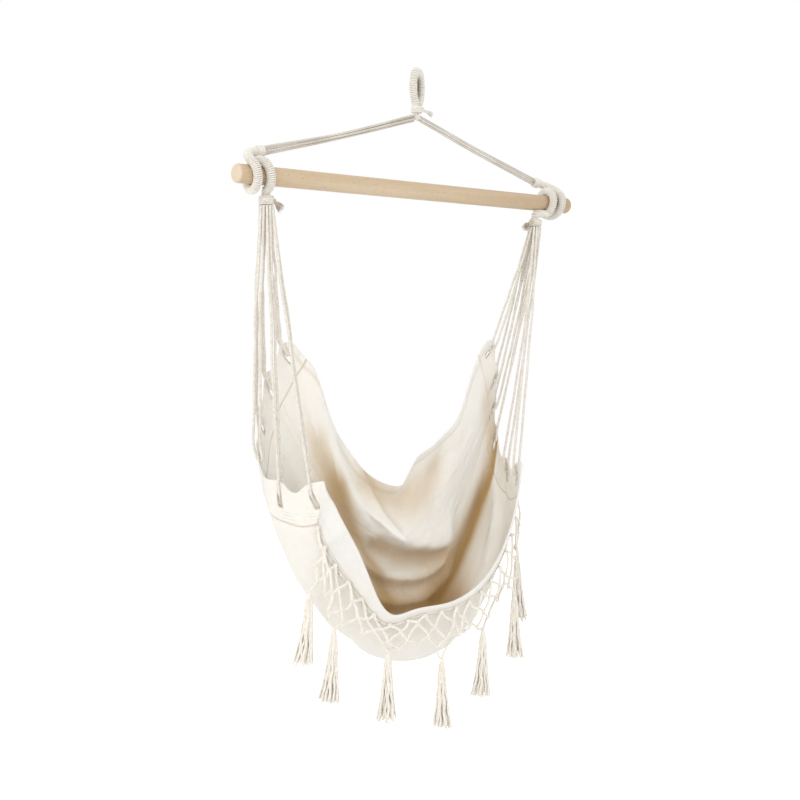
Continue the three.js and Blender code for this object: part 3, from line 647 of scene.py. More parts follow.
# Turns of thread in a straight sleeve, over a core with rounded ends
def whipping(name, start, end, radius, threadRadius, material=servedCotton):
    shares = np.linspace(0, 1, 24)
    swell = 1 - 0.1 * (2 * np.abs(shares - 0.5)) ** 6
    radii = ((radius - threadRadius * 1.2) * swell)[:, None]
    core = tube(name + "_core", np.linspace(start, end, 24), radii, material, 28)
    pitch = threadRadius * 1.95
    turns = windThread(name, np.linspace(start, end, 60), radius - pitch, threadRadius, pitch, material)
    return joined(name, [core, turns])


# Loose strands that leave one spot and spread
def fraying(name, start, axis, tail, seed, material):
    rng, length, radius = np.random.default_rng(seed), tail["length"], tail["radius"]
    side = unit(np.cross(axis, [0.3, 0.2, 1.0]))
    over = np.cross(axis, side)
    steps = np.linspace(0, 1, 9)
    lines = []
    for k in range(fray["strands"]):
        angle = k * goldenAngle
        reach = radius * math.sqrt((k + 0.5) / fray["strands"]) * (0.3 + 0.95 * steps**1.2)
        drift = rng.normal(0, radius * 0.12, (9, 3)) * steps[:, None]
        drift[:, 2] -= steps**2 * length * fray["sag"]
        forward = np.outer(steps * length * rng.uniform(0.82, 1.0), axis)
        spread = np.outer(np.cos(angle) * reach, side) + np.outer(np.sin(angle) * reach, over)
        lines.append(start + forward + spread + drift)
    radii = [fray["radius"] * (1 - 0.45 * steps)] * len(lines)
    return makeCords(name, lines, radii, 5, material)


# A knotted tail: a small knot, and the strands that come out of it
def makeTail(node, body, start, direction, tail, seeds, material):
    axis = unit(np.array(direction, float))
    knot = tieKnots(node + "_knot", [start + axis * tail["knotAt"]], tail["knotRadius"], seeds[0], material)
    strands = fraying(node + "_strands", start + axis * tail["strandsAt"], axis, tail, seeds[1], material)
    settle(joined(node + "_tuft", [knot, strands]), body, "rope_cotton", node)


# Hanging eye, throat and apex knot

eye = {
    "ropeDiameter": 0.017,
    "openingHeight": 0.062,
    "openingWidth": 0.015,
    "turn": 18.0,  # degrees about the vertical
    "threadPitch": 0.0031,
    "threadRadius": 0.00140,
    "legSpacing": 0.007,
}
throat = {
    "top": -0.062,
    "bottom": -0.074,
    "radius": 0.0125,
    "threadRadius": 0.0011,
    "tail": {"knotAt": 0, "knotRadius": 0.0046, "strandsAt": 0, "length": 0.021, "radius": 0.0046},
    "tailDirection": (0.014, -0.0096, -0.004),
}
apex = {
    "cordRadius": 0.0021,
    "wraps": [(25, 0, 1.0), (-30, 60, 0.97), (80, 20, 0.94), (15, 120, 0.9)],  # tilt, lean and size
}


# The strand on the far side is shaded where the eye's opening shows its inside
def makeEye():
    halfGap = (eye["openingWidth"] + eye["ropeDiameter"]) / 2
    crown, height, legX = eye["ropeDiameter"] / 2, eye["openingHeight"], eye["legSpacing"] / 2
    leg = [
        (legX, -height - 0.0048),
        (legX + 0.0004, -height),
        (halfGap * 0.8, -height * 0.7),
        (halfGap, -height * 0.4),
        (halfGap * 0.92, -height * 0.14),
        (halfGap * 0.55, crown * 0.7),
    ]
    points = [(-x, 0, z) for x, z in leg] + [(0, 0, crown)] + [(x, 0, z) for x, z in reversed(leg)]
    piece = servedRope("eye_rope", turned(evenPath(points, 0.0015), eye["turn"]), eye)
    places = np.empty(len(piece.data.vertices) * 3)
    piece.data.vertices.foreach_get("co", places)
    x, y, z = turned(places.reshape(-1, 3), -eye["turn"]).T  # as if the eye faced the front
    opened = smooth(-z, -0.001, 0.008) * (1 - smooth(-z, height - 0.008, height))
    inside = smooth(y, -0.008, 0.004) * (1 - smooth(x, halfGap - 0.004, halfGap + 0.004))
    shades = opened * smooth(x, 0.0, 0.006) * 0.92 * inside
    layer = piece.data.attributes["shade"].data
    kept = np.empty(len(shades))
    layer.foreach_get("value", kept)
    layer.foreach_set("value", np.maximum(kept, shades))
    settle(piece, "hanger", "rope_cotton", "hanging_eye")


def makeThroat():
    low, high = (0, 0, throat["bottom"] + 0.0006), (0, 0, throat["top"])
    piece = whipping("throat_turns", low, high, throat["radius"], throat["threadRadius"])
    settle(piece, "hanger", "rope_cotton", "throat_whipping")
    low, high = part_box("throat_tail")
    start = np.array([low.x + 0.0015, high.y - 0.003, (low.z + high.z) / 2 + 0.0015])
    direction, seeds = throat["tailDirection"], (3, 4)
    makeTail("throat_tail", "throat_tie", start, direction, throat["tail"], seeds, servedCotton)


# Crossing wraps over a core
def makeApexKnot():
    low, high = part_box("apex_knot")
    centre = np.array((low + high) / 2)
    radius, cord = (high.x - low.x) / 2, apex["cordRadius"]
    angles = np.linspace(0, 2 * math.pi, 40)
    pieces = []
    for k, (tilt, lean, share) in enumerate(apex["wraps"]):
        ring = np.stack([np.cos(angles), np.sin(angles), 0 * angles], -1) * (radius - cord) * share
        line = centre + turned(turned(ring, tilt, "X"), lean)
        pieces.append(tube("apex_wrap_%d" % k, line, laidRadii(line, cord), ropeCotton))
    pieces.append(tieKnots("apex_core", [centre], radius * 0.78, 1, ropeCotton))
    settle(joined("apex_knot_wraps", pieces), "apex", "rope_cotton", "apex_knot")
    return centre


makeEye()
makeThroat()
apexCentre = makeApexKnot()
print("eye, throat and apex knot made")


# Spreader bar

bar = {"length": 0.9, "radius": 0.0175, "round": 0.007, "level": -0.230, "shift": 0.008, "sides": 72}


# Pairs of radius and distance from the left end, with both ends rounded
def makeBar():
    edge, length = bar["round"], bar["length"]
    ends = [(0.004, 0.0), (0.008, 0.0)]
    for turn in np.linspace(0, math.pi / 2, 9):
        ends.append((bar["radius"] - edge + edge * math.sin(turn), edge - edge * math.cos(turn)))
    run = [(bar["radius"], d) for d in np.linspace(0.02, length - 0.02, 60)]
    profile = np.array(ends + run + [(r, length - d) for r, d in reversed(ends)])
    path = np.full((len(profile), 3), (0, 0, bar["level"]), float)
    path[:, 0] = bar["shift"] - length / 2 + profile[:, 1] + np.linspace(0, 1e-6, len(path))
    settle(tube("bar_rod", path, profile[:, :1], beech, bar["sides"]), "bar", "beech", "spreader_bar")


makeBar()
print("bar made")


# Hitches, top whippings and bindings

hitch = {
    "ropeDiameter": 0.018,
    "pitch": 0.029,
    "fromBarEnd": 0.049,
    "gap": 0.0008,
    "turns": 1.42,
    "entry": [(1.75, 1.02, 1.14), (0.86, 0.96, 0.9), (0.3, 0.3, 0.5)],  # shares of pitch, rope and rope
    "threadPitch": 0.0032,
    "threadRadius": 0.00145,
    "whipping": {"length": 0.013, "thickness": 0.0023, "threadRadius": 0.0011},
}
binding = {
    "diameter": 0.029,
    "length": 0.019,
    "threadRadius": 0.0016,
    "crossRadius": 0.0015,
    "reach": {"left": 0.378, "right": 0.348},
    "forward": 0.006,
    "drop": 0.037,
    "domeRadius": 0.016,
    "fitGap": 0.0003,
    "tail": {"knotAt": 0.004, "knotRadius": 0.0052, "strandsAt": 0.006, "length": 0.019, "radius": 0.0074},
}
sideSigns = {"left": -1, "right": 1}
hitchReach = bar["length"] / 2 - hitch["fromBarEnd"]
hitchRadius = bar["radius"] + hitch["gap"] + hitch["ropeDiameter"] / 2
bindingTop = bar["level"] - binding["drop"]
bindingBottom = bindingTop - binding["length"]


def hitchPoints(side):
    sign, rope, pitch, level = sideSigns[side], hitch["ropeDiameter"], hitch["pitch"], bar["level"]
    startX = hitchReach + pitch * 0.62
    points = []
    for out, back, up in hitch["entry"]:
        points.append((sign * (startX - pitch * out), rope * back, level + hitchRadius + rope * up))
    for step in range(2, round(24 * hitch["turns"]) + 1):
        angle = step / 24 * 2 * math.pi
        x = sign * (startX - pitch * step / 24)
        points.append((x, -hitchRadius * math.sin(angle), level + hitchRadius * math.cos(angle)))
    reach = sign * binding["reach"][side]
    points.append((reach, -binding["forward"], bindingTop + rope * 0.6))
    points.append((reach, -binding["forward"], bindingTop - binding["length"] / 2))
    return np.array(points)


def makeHitch(side):
    points = hitchPoints(side)
    piece = servedRope("hitch_" + side, evenPath(points, 0.0025), hitch)
    settle(piece, "suspension", "rope_cotton", "bar_hitch_" + side)
    turns = hitch["whipping"]
    axis = unit(points[1] - points[0])
    start = points[0] + axis * binding["fitGap"]
    outer = hitch["ropeDiameter"] / 2 + turns["thickness"]
    end = start + axis * turns["length"]
    wraps = whipping("top_whipping_turns_" + side, start, end, outer, turns["threadRadius"])
    settle(wraps, "suspension", "rope_cotton", "top_whipping_" + side)


def makeBinding(side):
    sign = sideSigns[side]
    x, y, radius = sign * binding["reach"][side], -binding["forward"], binding["diameter"] / 2
    low, high = bindingBottom + 0.0035, bindingTop - 0.0005
    thread, cross = binding["threadRadius"], binding["crossRadius"]
    pieces = [whipping("binding_turns_" + side, (x, y, low), (x, y, high), radius, thread, ropeCotton)]
    pieces.append(tieKnots("binding_core_" + side, [(x, y, bindingBottom + 0.0075)], 0.0072, 5, ropeCotton))
    angles = np.linspace(0, 2 * math.pi, 40)
    for k, lean in enumerate((-0.003, 0.003)):
        reach = radius - 0.0014
        ring = [np.cos(angles) * reach, np.sin(angles) * reach, np.sin(angles + k * 1.3) * lean]
        line = np.stack(ring, -1) + [x, y, (low + high) / 2]
        pieces.append(tube("binding_cross_%s_%d" % (side, k), line, laidRadii(line, cross), ropeCotton))
    settle(joined("binding_wraps_" + side, pieces), "suspension", "rope_cotton", "binding_" + side)
    start = np.array([x - sign * (radius - 0.002), y, bindingBottom + binding["length"] * 0.66])
    direction, seeds = (-sign * 0.85, 0, -0.45), (7, 11 + sign)
    makeTail("binding_tail_" + side, "suspension", start, direction, binding["tail"], seeds, frayedCotton)


for side in sideSigns:
    makeHitch(side)
    makeBinding(side)
print("hitches and bindings made")


# Suspension cords

suspension = {
    "diameter": 0.0042,
    "perSide": 4,
    "knotRadius": 0.0085,
    "lay": 0.05,
    "sag": 0.002,
    "slack": 0.0055,  # of the two lowest cords on the left
    "sway": 0.0005,
}


def makeSuspension(side):
    points = hitchPoints(side)
    end = points[0]
    run, face = unit(end - apexCentre), unit(points[1] - end)
    flat = unit(np.cross([0, 1, 0], run))
    radius, gap, count = suspension["diameter"] / 2, binding["fitGap"], suspension["perSide"]
    pitch = suspension["diameter"] + gap
    faceGap = gap + radius * math.sqrt(max(0, 1 - run.dot(face) ** 2))
    shares = np.linspace(0, 1, 24)
    for k in range(count):
        row = k - (count - 1) / 2
        stagger = (1 if k % 2 == 0 else -1) * pitch * 0.22

        # The cord's place beside the band's middle line
        def offset(share):
            sideways = flat * row * pitch * (0.82 + 0.18 * share)
            return np.array([0, stagger * (2.4 - 1.4 * share), 0]) + sideways

        offAxis = max(0, np.linalg.norm(offset(0)) - radius)
        start = apexCentre + run * math.sqrt((suspension["knotRadius"] + gap) ** 2 - offAxis**2)
        stop = end - run * (faceGap + offset(1).dot(face)) / run.dot(face)
        hang = np.sin(shares * math.pi) ** 1.5
        line = np.array([start + (stop - start) * share + offset(share) for share in shares])
        line[:, 2] -= hang * (suspension["slack"] if side == "left" and k > 1 else suspension["sag"])
        line[:, 1] += hang * np.sin(shares * (5 + k) + k * 1.7) * suspension["sway"]
        path = evenPath(line, 0.0016)
        radii = laidRadii(path, radius, lay=suspension["lay"], depth=0.03)
        piece = tube("suspension_band_%s_%d" % (side, k + 1), path, radii, bandCotton)
        settle(piece, "suspension", "rope_cotton", "suspension_cord_%s_%d" % (side, k + 1))


for side in sideSigns:
    makeSuspension(side)
print("suspension cords made")


# Seat cloth: places on it run across from -1 to 1, and along from the back's top edge to the front fold

seat = {
    "hemSpan": 0.664,
    "hemReachBack": 0.095,
    "cordDrop": 0.290,
    "hemDrop": 0.280,
    "backSag": 0.316,
    "seatSag": 0.351,
    "centreBack": 0.082,
    "edgeLift": 0.052,
    "thickness": 0.0016,
    "slots": [0.06, 0.22, 0.39, 0.56, 0.77, 0.93],
    "slotTop": 0.011,
    "slotBottom": 0.048,
    "slotHalfWidth": 0.0034,
    "hemDip": 0.015,
    "hemWidth": 0.079,
    "seamInset": 0.078,
    "stitchRows": [0.076, 0.070, 0.063, 0.057],
    "cornerRound": 0.034,
    "frontPush": 0.030,
    "frontPointDrop": 0.040,
    # Out, back and down, as shares of the hem's sizes
    "hemShares": [
        (0.85, 0.62, 0), (0.96, 0.8, 0.24), (1, 1, 0.58),
        (0.985, 0.84, 0.9), (0.92, 0.3, 1.01), (0.816, -0.39, 0.979),
    ],
    # Back and down along the middle
    "centreShares": [
        (0.6, 0), (0.9, 0.3), (0.97, 0.6), (0.78, 0.85), (0.36, 0.985),
        (-0.05, 1), (-0.42, 0.93), (-0.7, 0.8), (-0.92, 0.645),
    ],
    # Place across and height of the back's top edge
    "edgeLifts": [
        (-1, 0), (-0.9, 0.6), (-0.78, 1.1), (-0.6, 0.45), (-0.38, 0.12), (0.05, 0), (0.14, 0.5),
        (0.22, 0.9), (0.42, 0.7), (0.64, 0.3), (0.76, 0.85), (0.88, 0.8), (1, 0),
    ],
}
hemTop = bar["level"] - seat["cordDrop"]
hemBottom = hemTop - seat["hemDrop"]
hemHalf = seat["hemSpan"] / 2
hemSizes = np.array([hemHalf, seat["hemReachBack"], -seat["hemDrop"]])
hemRoute = routeThrough(np.array(seat["hemShares"]) * hemSizes + [0, 0, hemTop])
centreSizes = np.array([0, seat["centreBack"], -seat["seatSag"]])
centrePoints = [(0, y, z) for y, z in seat["centreShares"]] * centreSizes
centreRoute = routeThrough(centrePoints + [0, 0, hemTop - seat["backSag"]])
hemLength, centreLength = hemRoute[1][-1], centreRoute[1][-1]

# Folds: height (positive away from the sitter), width on the upper and the lower side, and the line
# that each follows as places across and along
folds = [
    (0.018, 0.040, 0.030, [(-0.6, 0.03), (-0.2, 0.08), (0.2, 0.06), (0.45, 0.1)]),
    (-0.034, 0.018, 0.046, [(-0.85, 0.03), (-0.61, 0.05), (-0.42, 0.115), (-0.25, 0.145), (-0.09, 0.175)]),
    (-0.030, 0.042, 0.015, [(-0.17, 0.16), (-0.04, 0.185), (0.23, 0.275), (0.44, 0.39)]),
    (0.016, 0.020, 0.026, [(-0.2, 0.26), (0.13, 0.31), (0.42, 0.42)]),
    (-0.022, 0.030, 0.014, [(-0.3, 0.32), (0.09, 0.37), (0.42, 0.46)]),
    (-0.017, 0.024, 0.013, [(-0.2, 0.44), (0.11, 0.47), (0.3, 0.52), (0.46, 0.545)]),
    (0.034, 0.042, 0.016, [
        (0.97, 0.6), (0.84, 0.6), (0.75, 0.595), (0.58, 0.58), (0.45, 0.58), (0.3, 0.585),
    ]),
    (-0.012, 0.012, 0.050, [(0.97, 0.635), (0.84, 0.635), (0.75, 0.63), (0.58, 0.615), (0.42, 0.615)]),
    (0.015, 0.034, 0.034, [(-0.82, 0.4), (-0.62, 0.5), (-0.4, 0.6)]),
    (-0.013, 0.034, 0.034, [(0.8, 0.66), (0.6, 0.68), (0.4, 0.68)]),
    (-0.013, 0.034, 0.034, [(-0.78, 0.62), (-0.55, 0.66), (-0.35, 0.68)]),
    (-0.012, 0.006, 0.030, [(-0.44, 0.0), (-0.38, 0.01), (-0.28, 0.035), (-0.17, 0.085), (-0.08, 0.16)]),
]

# How deep in shade the cloth lies: strength, width on each side of the line, and the line
hollows = [
    (0.42, 0.026, 0.034, [(-0.3, 0.02), (-0.04, 0.05), (0.18, 0.11), (0.3, 0.12), (0.42, 0.1)]),
    (0.78, 0.024, 0.044, [(-0.5, 0.15), (-0.33, 0.24), (-0.13, 0.36), (-0.06, 0.45)]),
    (0.4, 0.020, 0.040, [(-0.66, 0.13), (-0.5, 0.16)]),
    (0.6, 0.012, 0.036, [(-0.18, 0.215), (-0.04, 0.23), (0.23, 0.31), (0.46, 0.43)]),
    (0.5, 0.012, 0.030, [(-0.06, 0.37), (0.19, 0.41), (0.37, 0.47), (0.52, 0.51)]),
    (0.86, 0.030, 0.060, [(-0.25, 0.45), (-0.07, 0.47), (0.04, 0.49), (0.2, 0.52), (0.34, 0.545)]),
    (0.97, 0.052, 0.006, [
        (0.97, 0.602), (0.84, 0.602), (0.75, 0.597), (0.58, 0.582), (0.45, 0.582), (0.3, 0.587),
    ]),
    (0.35, 0.030, 0.030, [(0.88, 0.19), (0.95, 0.46)]),
    (0.7, 0.040, 0.055, [(-0.5, 0.6), (-0.3, 0.63), (-0.05, 0.62), (0.15, 0.61), (0.32, 0.6)]),
    (0.28, 0.022, 0.004, [(-0.42, 0.0), (-0.34, 0.015), (-0.24, 0.045), (-0.13, 0.1), (-0.05, 0.16)]),
]


def together(*values):
    return np.broadcast_arrays(*[np.asarray(value, float) for value in values])


def edgeLift(across, along):
    places, lifts = np.array(seat["edgeLifts"]).T
    fine = np.linspace(-1, 1, 401)
    kernel = np.hanning(23)
    soft = np.convolve(np.pad(np.interp(fine, places, lifts), 11, "edge"), kernel / kernel.sum(), "valid")
    return seat["edgeLift"] * (1 - smooth(along, 0, 0.26)) * np.interp(across, fine, soft)


# On the left the front hangs to a point: it is drawn in above the point and lower at it
def frontPoint(across, along):
    share = smooth(along, 0.75, 1) * smooth(1 - np.abs(across), 0, 0.12)
    push = seat["frontPush"] * bump(across, -0.7, 0.25)
    drop = seat["frontPointDrop"] * bump(across, -0.36, 0.16)
    return np.stack([push, 0 * push, -drop], -1) * share[..., None]


# The even surface that the folds stand on
def seatBase(across, along):
    across, along = together(across, along)
    hem, centre = atShares(hemRoute, along), atShares(centreRoute, along)
    reach = np.abs(across)
    roundness = smooth(along, 0.38, 0.74) * (1 - 0.12 * smooth(along, 0.78, 1))
    angle = (1 - reach) * math.pi / 2
    spread = (1 - roundness) * reach + roundness * np.cos(angle)
    drop = (1 - roundness) * (1 - reach**2) + roundness * np.sin(angle)
    x = np.sign(across) * hem[..., 0] * spread
    y = hem[..., 1] + (centre[..., 1] - hem[..., 1]) * smooth(1 - reach, 0, 1)
    z = hem[..., 2] + (centre[..., 2] - hem[..., 2]) * drop + edgeLift(across, along)
    return np.stack([x, y, z], -1) + frontPoint(across, along)


def outward(across, along):
    step = 0.004
    u = seatBase(across + step, along) - seatBase(across - step, along)
    v = seatBase(across, along + step) - seatBase(across, along - step)
    return unit(np.cross(u, v))


# Share of the way in from the hem that a length of cloth there takes
def insetShare(along, length):
    probe = 0.01
    speed = np.linalg.norm(seatBase(1, along) - seatBase(1 - probe, along), axis=-1) / probe
    return length / speed


# A bell along the line of each entry, narrower or wider on its upper side than on its lower one
def bells(across, along, entries):
    scale = np.array([seat["hemSpan"] * 0.7, centreLength])
    spots = np.stack([across, along], -1) * scale
    for size, upper, lower, line in entries:
        points = np.array(line) * scale
        best, signed = np.full(across.shape, 1e9), np.zeros(across.shape)
        for start, end in zip(points[:-1], points[1:]):
            step = end - start
            share = np.clip(((spots - start) @ step) / step.dot(step), 0, 1)
            gap = spots - (start + share[..., None] * step)
            distance = np.linalg.norm(gap, axis=-1)
            below = np.sign(gap[..., 1] * step[0] - gap[..., 0] * step[1]) * np.sign(step[0])
            signed = np.where(distance < best, distance * below, signed)
            best = np.minimum(best, distance)
        yield size * bump(signed, 0, np.where(signed < 0, upper, lower))


def seatPoint(across, along):
    across, along = together(across, along)
    free = smooth(1 - np.abs(across), 0.1, 0.26) * smooth(1 - along, 0, 0.2)
    height = free * sum(bells(across, along, folds))
    return seatBase(across, along) + outward(across, along) * height[..., None]


def hollowShade(across, along):
    light = np.ones(across.shape)
    for shade in bells(across, along, hollows):
        light *= 1 - shade
    return 1 - light


# Small creases in patches, with a phase and a direction for each
def creases(across, along):
    x, y = across * hemHalf, along * centreLength
    rng = np.random.default_rng(21)
    height = np.zeros(across.shape)
    for _ in range(16):
        angle, wave = rng.uniform(0, math.pi), rng.uniform(40, 105)
        phase = rng.uniform(0, 2 * math.pi, 3)
        warp = np.sin(x * rng.uniform(8, 20) + phase[0]) + np.sin(y * rng.uniform(8, 20) + phase[1])
        line = np.sin((x * math.cos(angle) + y * math.sin(angle)) * wave + phase[2] + warp * 1.3)
        patch = smooth(np.sin(x * 9 + phase[1]) * np.cos(y * 9 + phase[0]), 0.05, 0.8)
        height += (1 - np.abs(line)) ** 3 * patch * rng.uniform(0.4, 1)
    puckers = np.sin(x * 480 + np.sin(x * 90) * 1.5) * np.exp(-y / 0.02) * smooth(y, 0.0, 0.004)
    return height * 0.0011 + puckers * 0.0007


# Gathers near each hem: shallow ridges that run in from the buttonholes, two of them leaning
def hemGathers(across, along, inset):
    ridges = np.zeros(across.shape)
    for slot in seat["slots"]:
        distance = (along - slot) * hemLength
        straight = bump(distance, 0, 0.006 + inset * 0.12) * np.exp(-inset / 0.12)
        ridges += 0.0028 * straight * smooth(inset, 0.0, 0.03)
        for lean in (-0.35, 0.4):
            leaning = bump(distance - lean * inset, 0, 0.008 + inset * 0.08) * np.exp(-inset / 0.09)
            ridges += 0.0009 * leaning * smooth(inset, 0.01, 0.04)
    return ridges


# Between two buttonholes the hem's edge hangs a little lower
def hemDip(along):
    dips = np.zeros(along.shape)
    for start, end in zip(seat["slots"][:-1], seat["slots"][1:]):
        share = np.clip((along - start) / (end - start), 0, 1)
        dips += np.sin(share * math.pi) ** 2
    return dips


collar = {"gap": 0.0055, "sideDrop": 0.074, "crest": 0.003}


# The turned-out front; share runs from 0 at the crest to 1 at the free edge
def collarPoint(across, share):
    across, share = together(across, share)
    reach = np.abs(across)
    backward = 0.018 + 0.067 * reach**1.6 + 0.05 * bump(across, -0.7, 0.3)
    downward = insetShare(1.0, collar["sideDrop"]) * reach**6
    at, along = across * (1 - share * downward), 1 - share * backward
    forward = unit(seatBase(across, 1.0) - seatBase(across, 0.99))
    turn = np.clip(share / 0.1, 0, 1) * math.pi
    rise = collar["crest"] * np.sin(turn)
    offset = collar["gap"] * (1 - np.cos(turn)) / 2 * (1 - 0.25 * share)
    return seatPoint(at, along) + forward * rise[..., None] + outward(at, along) * offset[..., None]


# Even rows along the hem, with five close ones at each buttonhole
def clothRows(half):
    rows = np.linspace(0, 1, 150)
    for slot in seat["slots"]:
        rows = [row for row in rows if abs(row - slot) > half * 2.4]
        rows += [slot + half * k for k in (-2, -1, 0, 1, 2)]
    return np.array(sorted(rows))


# Distances from the hem and from the back edge, with the corner between them rounded
def roundCorner(fromHem, fromBack):
    corner = seat["cornerRound"]
    u, v = np.clip(1 - fromHem / corner, 0, 1), np.clip(1 - fromBack / corner, 0, 1)
    pull = np.maximum(u, v) / np.maximum(np.hypot(u, v), 1e-6)
    near = (u > 0) & (v > 0)
    bent = corner * (1 - u * pull), corner * (1 - v * pull)
    return np.where(near, bent[0], fromHem), np.where(near, bent[1], fromBack)


# The panel with its folded hems and open buttonholes, then the turned-out front below it
def makeCloth():
    half = seat["slotHalfWidth"] / hemLength
    rows = clothRows(half)
    near = np.arange(0, 0.0961, 0.003)  # close columns beside the hem
    nearShares = insetShare(rows[:, None], near)
    edge = nearShares[:, -1:]
    shares = np.hstack([nearShares, edge + (1 - edge) * np.linspace(0, 1, 62)[1:]])
    across = np.hstack([shares - 1, (1 - shares[:, :-1])[:, ::-1]])
    along = np.repeat(rows[:, None], across.shape[1], axis=1)
    perShare = near[-1] / edge
    inset = (1 - np.abs(across)) * perShare
    dip = hemDip(along) * seat["hemDip"] * np.exp(-inset / 0.05)
    fromHem, fromBack = roundCorner(inset + dip, along * hemLength)
    body = seatPoint(np.sign(across) * (1 - fromHem / perShare), fromBack / hemLength)
    lift = hemGathers(across, along, inset) + creases(across, along)
    lift += 0.0009 * (1 - smooth(along * centreLength, 0.016, 0.018))  # the back hem's fold
    lift += 0.0014 * (1 - smooth(inset, seat["hemWidth"] - 0.0015, seat["hemWidth"] + 0.0015))
    body = body + outward(across, along) * lift[..., None]
    front = np.concatenate([[0.02, 0.04, 0.06, 0.08, 0.1], np.linspace(0.14, 1, 16)])[:, None]
    grid = np.vstack([body, collarPoint(across[-1:], front)])
    uLine, vLine = runningLength(grid[len(rows) // 2]), runningLength(grid[:, grid.shape[1] // 2])
    uvs = np.stack(np.broadcast_arrays(uLine, vLine[:, None]), -1).reshape(-1, 2)
    cut, slitShade = np.zeros(grid.shape[:2], bool), np.zeros(inset.shape)
    top, bottom = seat["slotTop"], seat["slotBottom"]
    for slot in seat["slots"]:
        close = np.abs(rows - slot) < half * 1.01
        depth = inset[close]
        cut[: len(rows)][close] |= (depth > top) & (depth < bottom)
        # painted shade round the lower part of each buttonhole slit, where the hole looks dark
        slitShade[close] = 0.9 * smooth(depth, 0.018, 0.026) * (1 - smooth(depth, bottom, bottom + 0.004))
    faces = gridFaces(np.arange(cut.size).reshape(cut.shape))[~gridFaces(cut).all(-1)].tolist()
    cloth = meshObject("seat_canvas", grid.reshape(-1, 3), faces, uvs, canvasBack)
    cloth.data.materials.append(canvas)
    # painted shade along the hem's seam line and along the back hem's stitched row
    seamShade = 0.5 * np.clip(1 - np.abs(inset - seat["seamInset"]) / 0.0028, 0, 1)
    edgeSeamShade = 0.3 * np.clip(1 - np.abs(along * centreLength - 0.017) / 0.004, 0, 1)
    lines = np.maximum(np.maximum(seamShade, edgeSeamShade), slitShade)
    for name, values in (("shade", hollowShade(across, along)), ("seamShade", lines)):
        setValues(cloth, name, np.vstack([values, np.zeros((len(front), inset.shape[1]))]).ravel())
    thick = cloth.modifiers.new("thickness", "SOLIDIFY")
    thick.thickness, thick.offset, thick.material_offset = seat["thickness"], 0, 1
    return cloth


# A line on the cloth near the hem, lifted off its middle
def lineOnHem(at, alongs, insets, lift):
    return seatPoint(at, alongs) + outward(at, alongs) * (hemGathers(at, alongs, insets) + lift)[:, None]


def makeSeams():
    alongs, wide = np.linspace(0.01, 0.99, 220), np.linspace(-0.97, 0.97, 260)
    angles = np.linspace(0, 2 * math.pi, 60)
    middle = (seat["slotTop"] + seat["slotBottom"]) / 2
    insets = middle + np.cos(angles) * ((seat["slotBottom"] - seat["slotTop"]) / 2 + 0.0012)
    lines, holes = [], []
    for sign in (-1, 1):
        for inset in seat["stitchRows"]:
            lines.append(lineOnHem(sign * (1 - insetShare(alongs, inset)), alongs, inset, 0.0021))
        for slot in seat["slots"]:
            around = slot + np.sin(angles) * (seat["slotHalfWidth"] + 0.0014) / hemLength
            ats = sign * (1 - insetShare(slot, insets))
            holes += [lineOnHem(ats, around, insets, 0.0009 + face * 0.0012) for face in (1, -1)]
    for share in (0.86, 0.93):
        lines.append(collarPoint(wide, share) + outward(wide, 0.99) * 0.0011)
    rows = sewStitches("seam_rows", lines, 0.0042, 0.0034, 0.0006, shadedStitchCotton)
    borders = sewStitches("buttonhole_borders", holes, 0.0013, 0.0016, 0.0008, servedCotton)
    return joined("seat_stitching", [rows, borders])


cloth = makeCloth()
stitching = makeSeams()
settle(cloth, "seat", "canvas", "seat_fabric")
settle(stitching, "seat", "canvas")
print("cloth and stitching made")


# Seat cords

seatCord = {
    "diameter": 0.0055,
    "loopGap": 0.0008,
    "clothThickness": 0.0026,  # of the CAD's cloth
    "bow": 0.003,
    "spread": 0.0005,
    "wander": 0.0024,
    "crossing": 0.026,  # distance of the loop's bend from the hem
    "lay": 0.021,
}
standOff = seatCord["clothThickness"] / 2 + seatCord["loopGap"] + seatCord["diameter"] / 2
pivotLevel = bindingBottom + binding["domeRadius"]


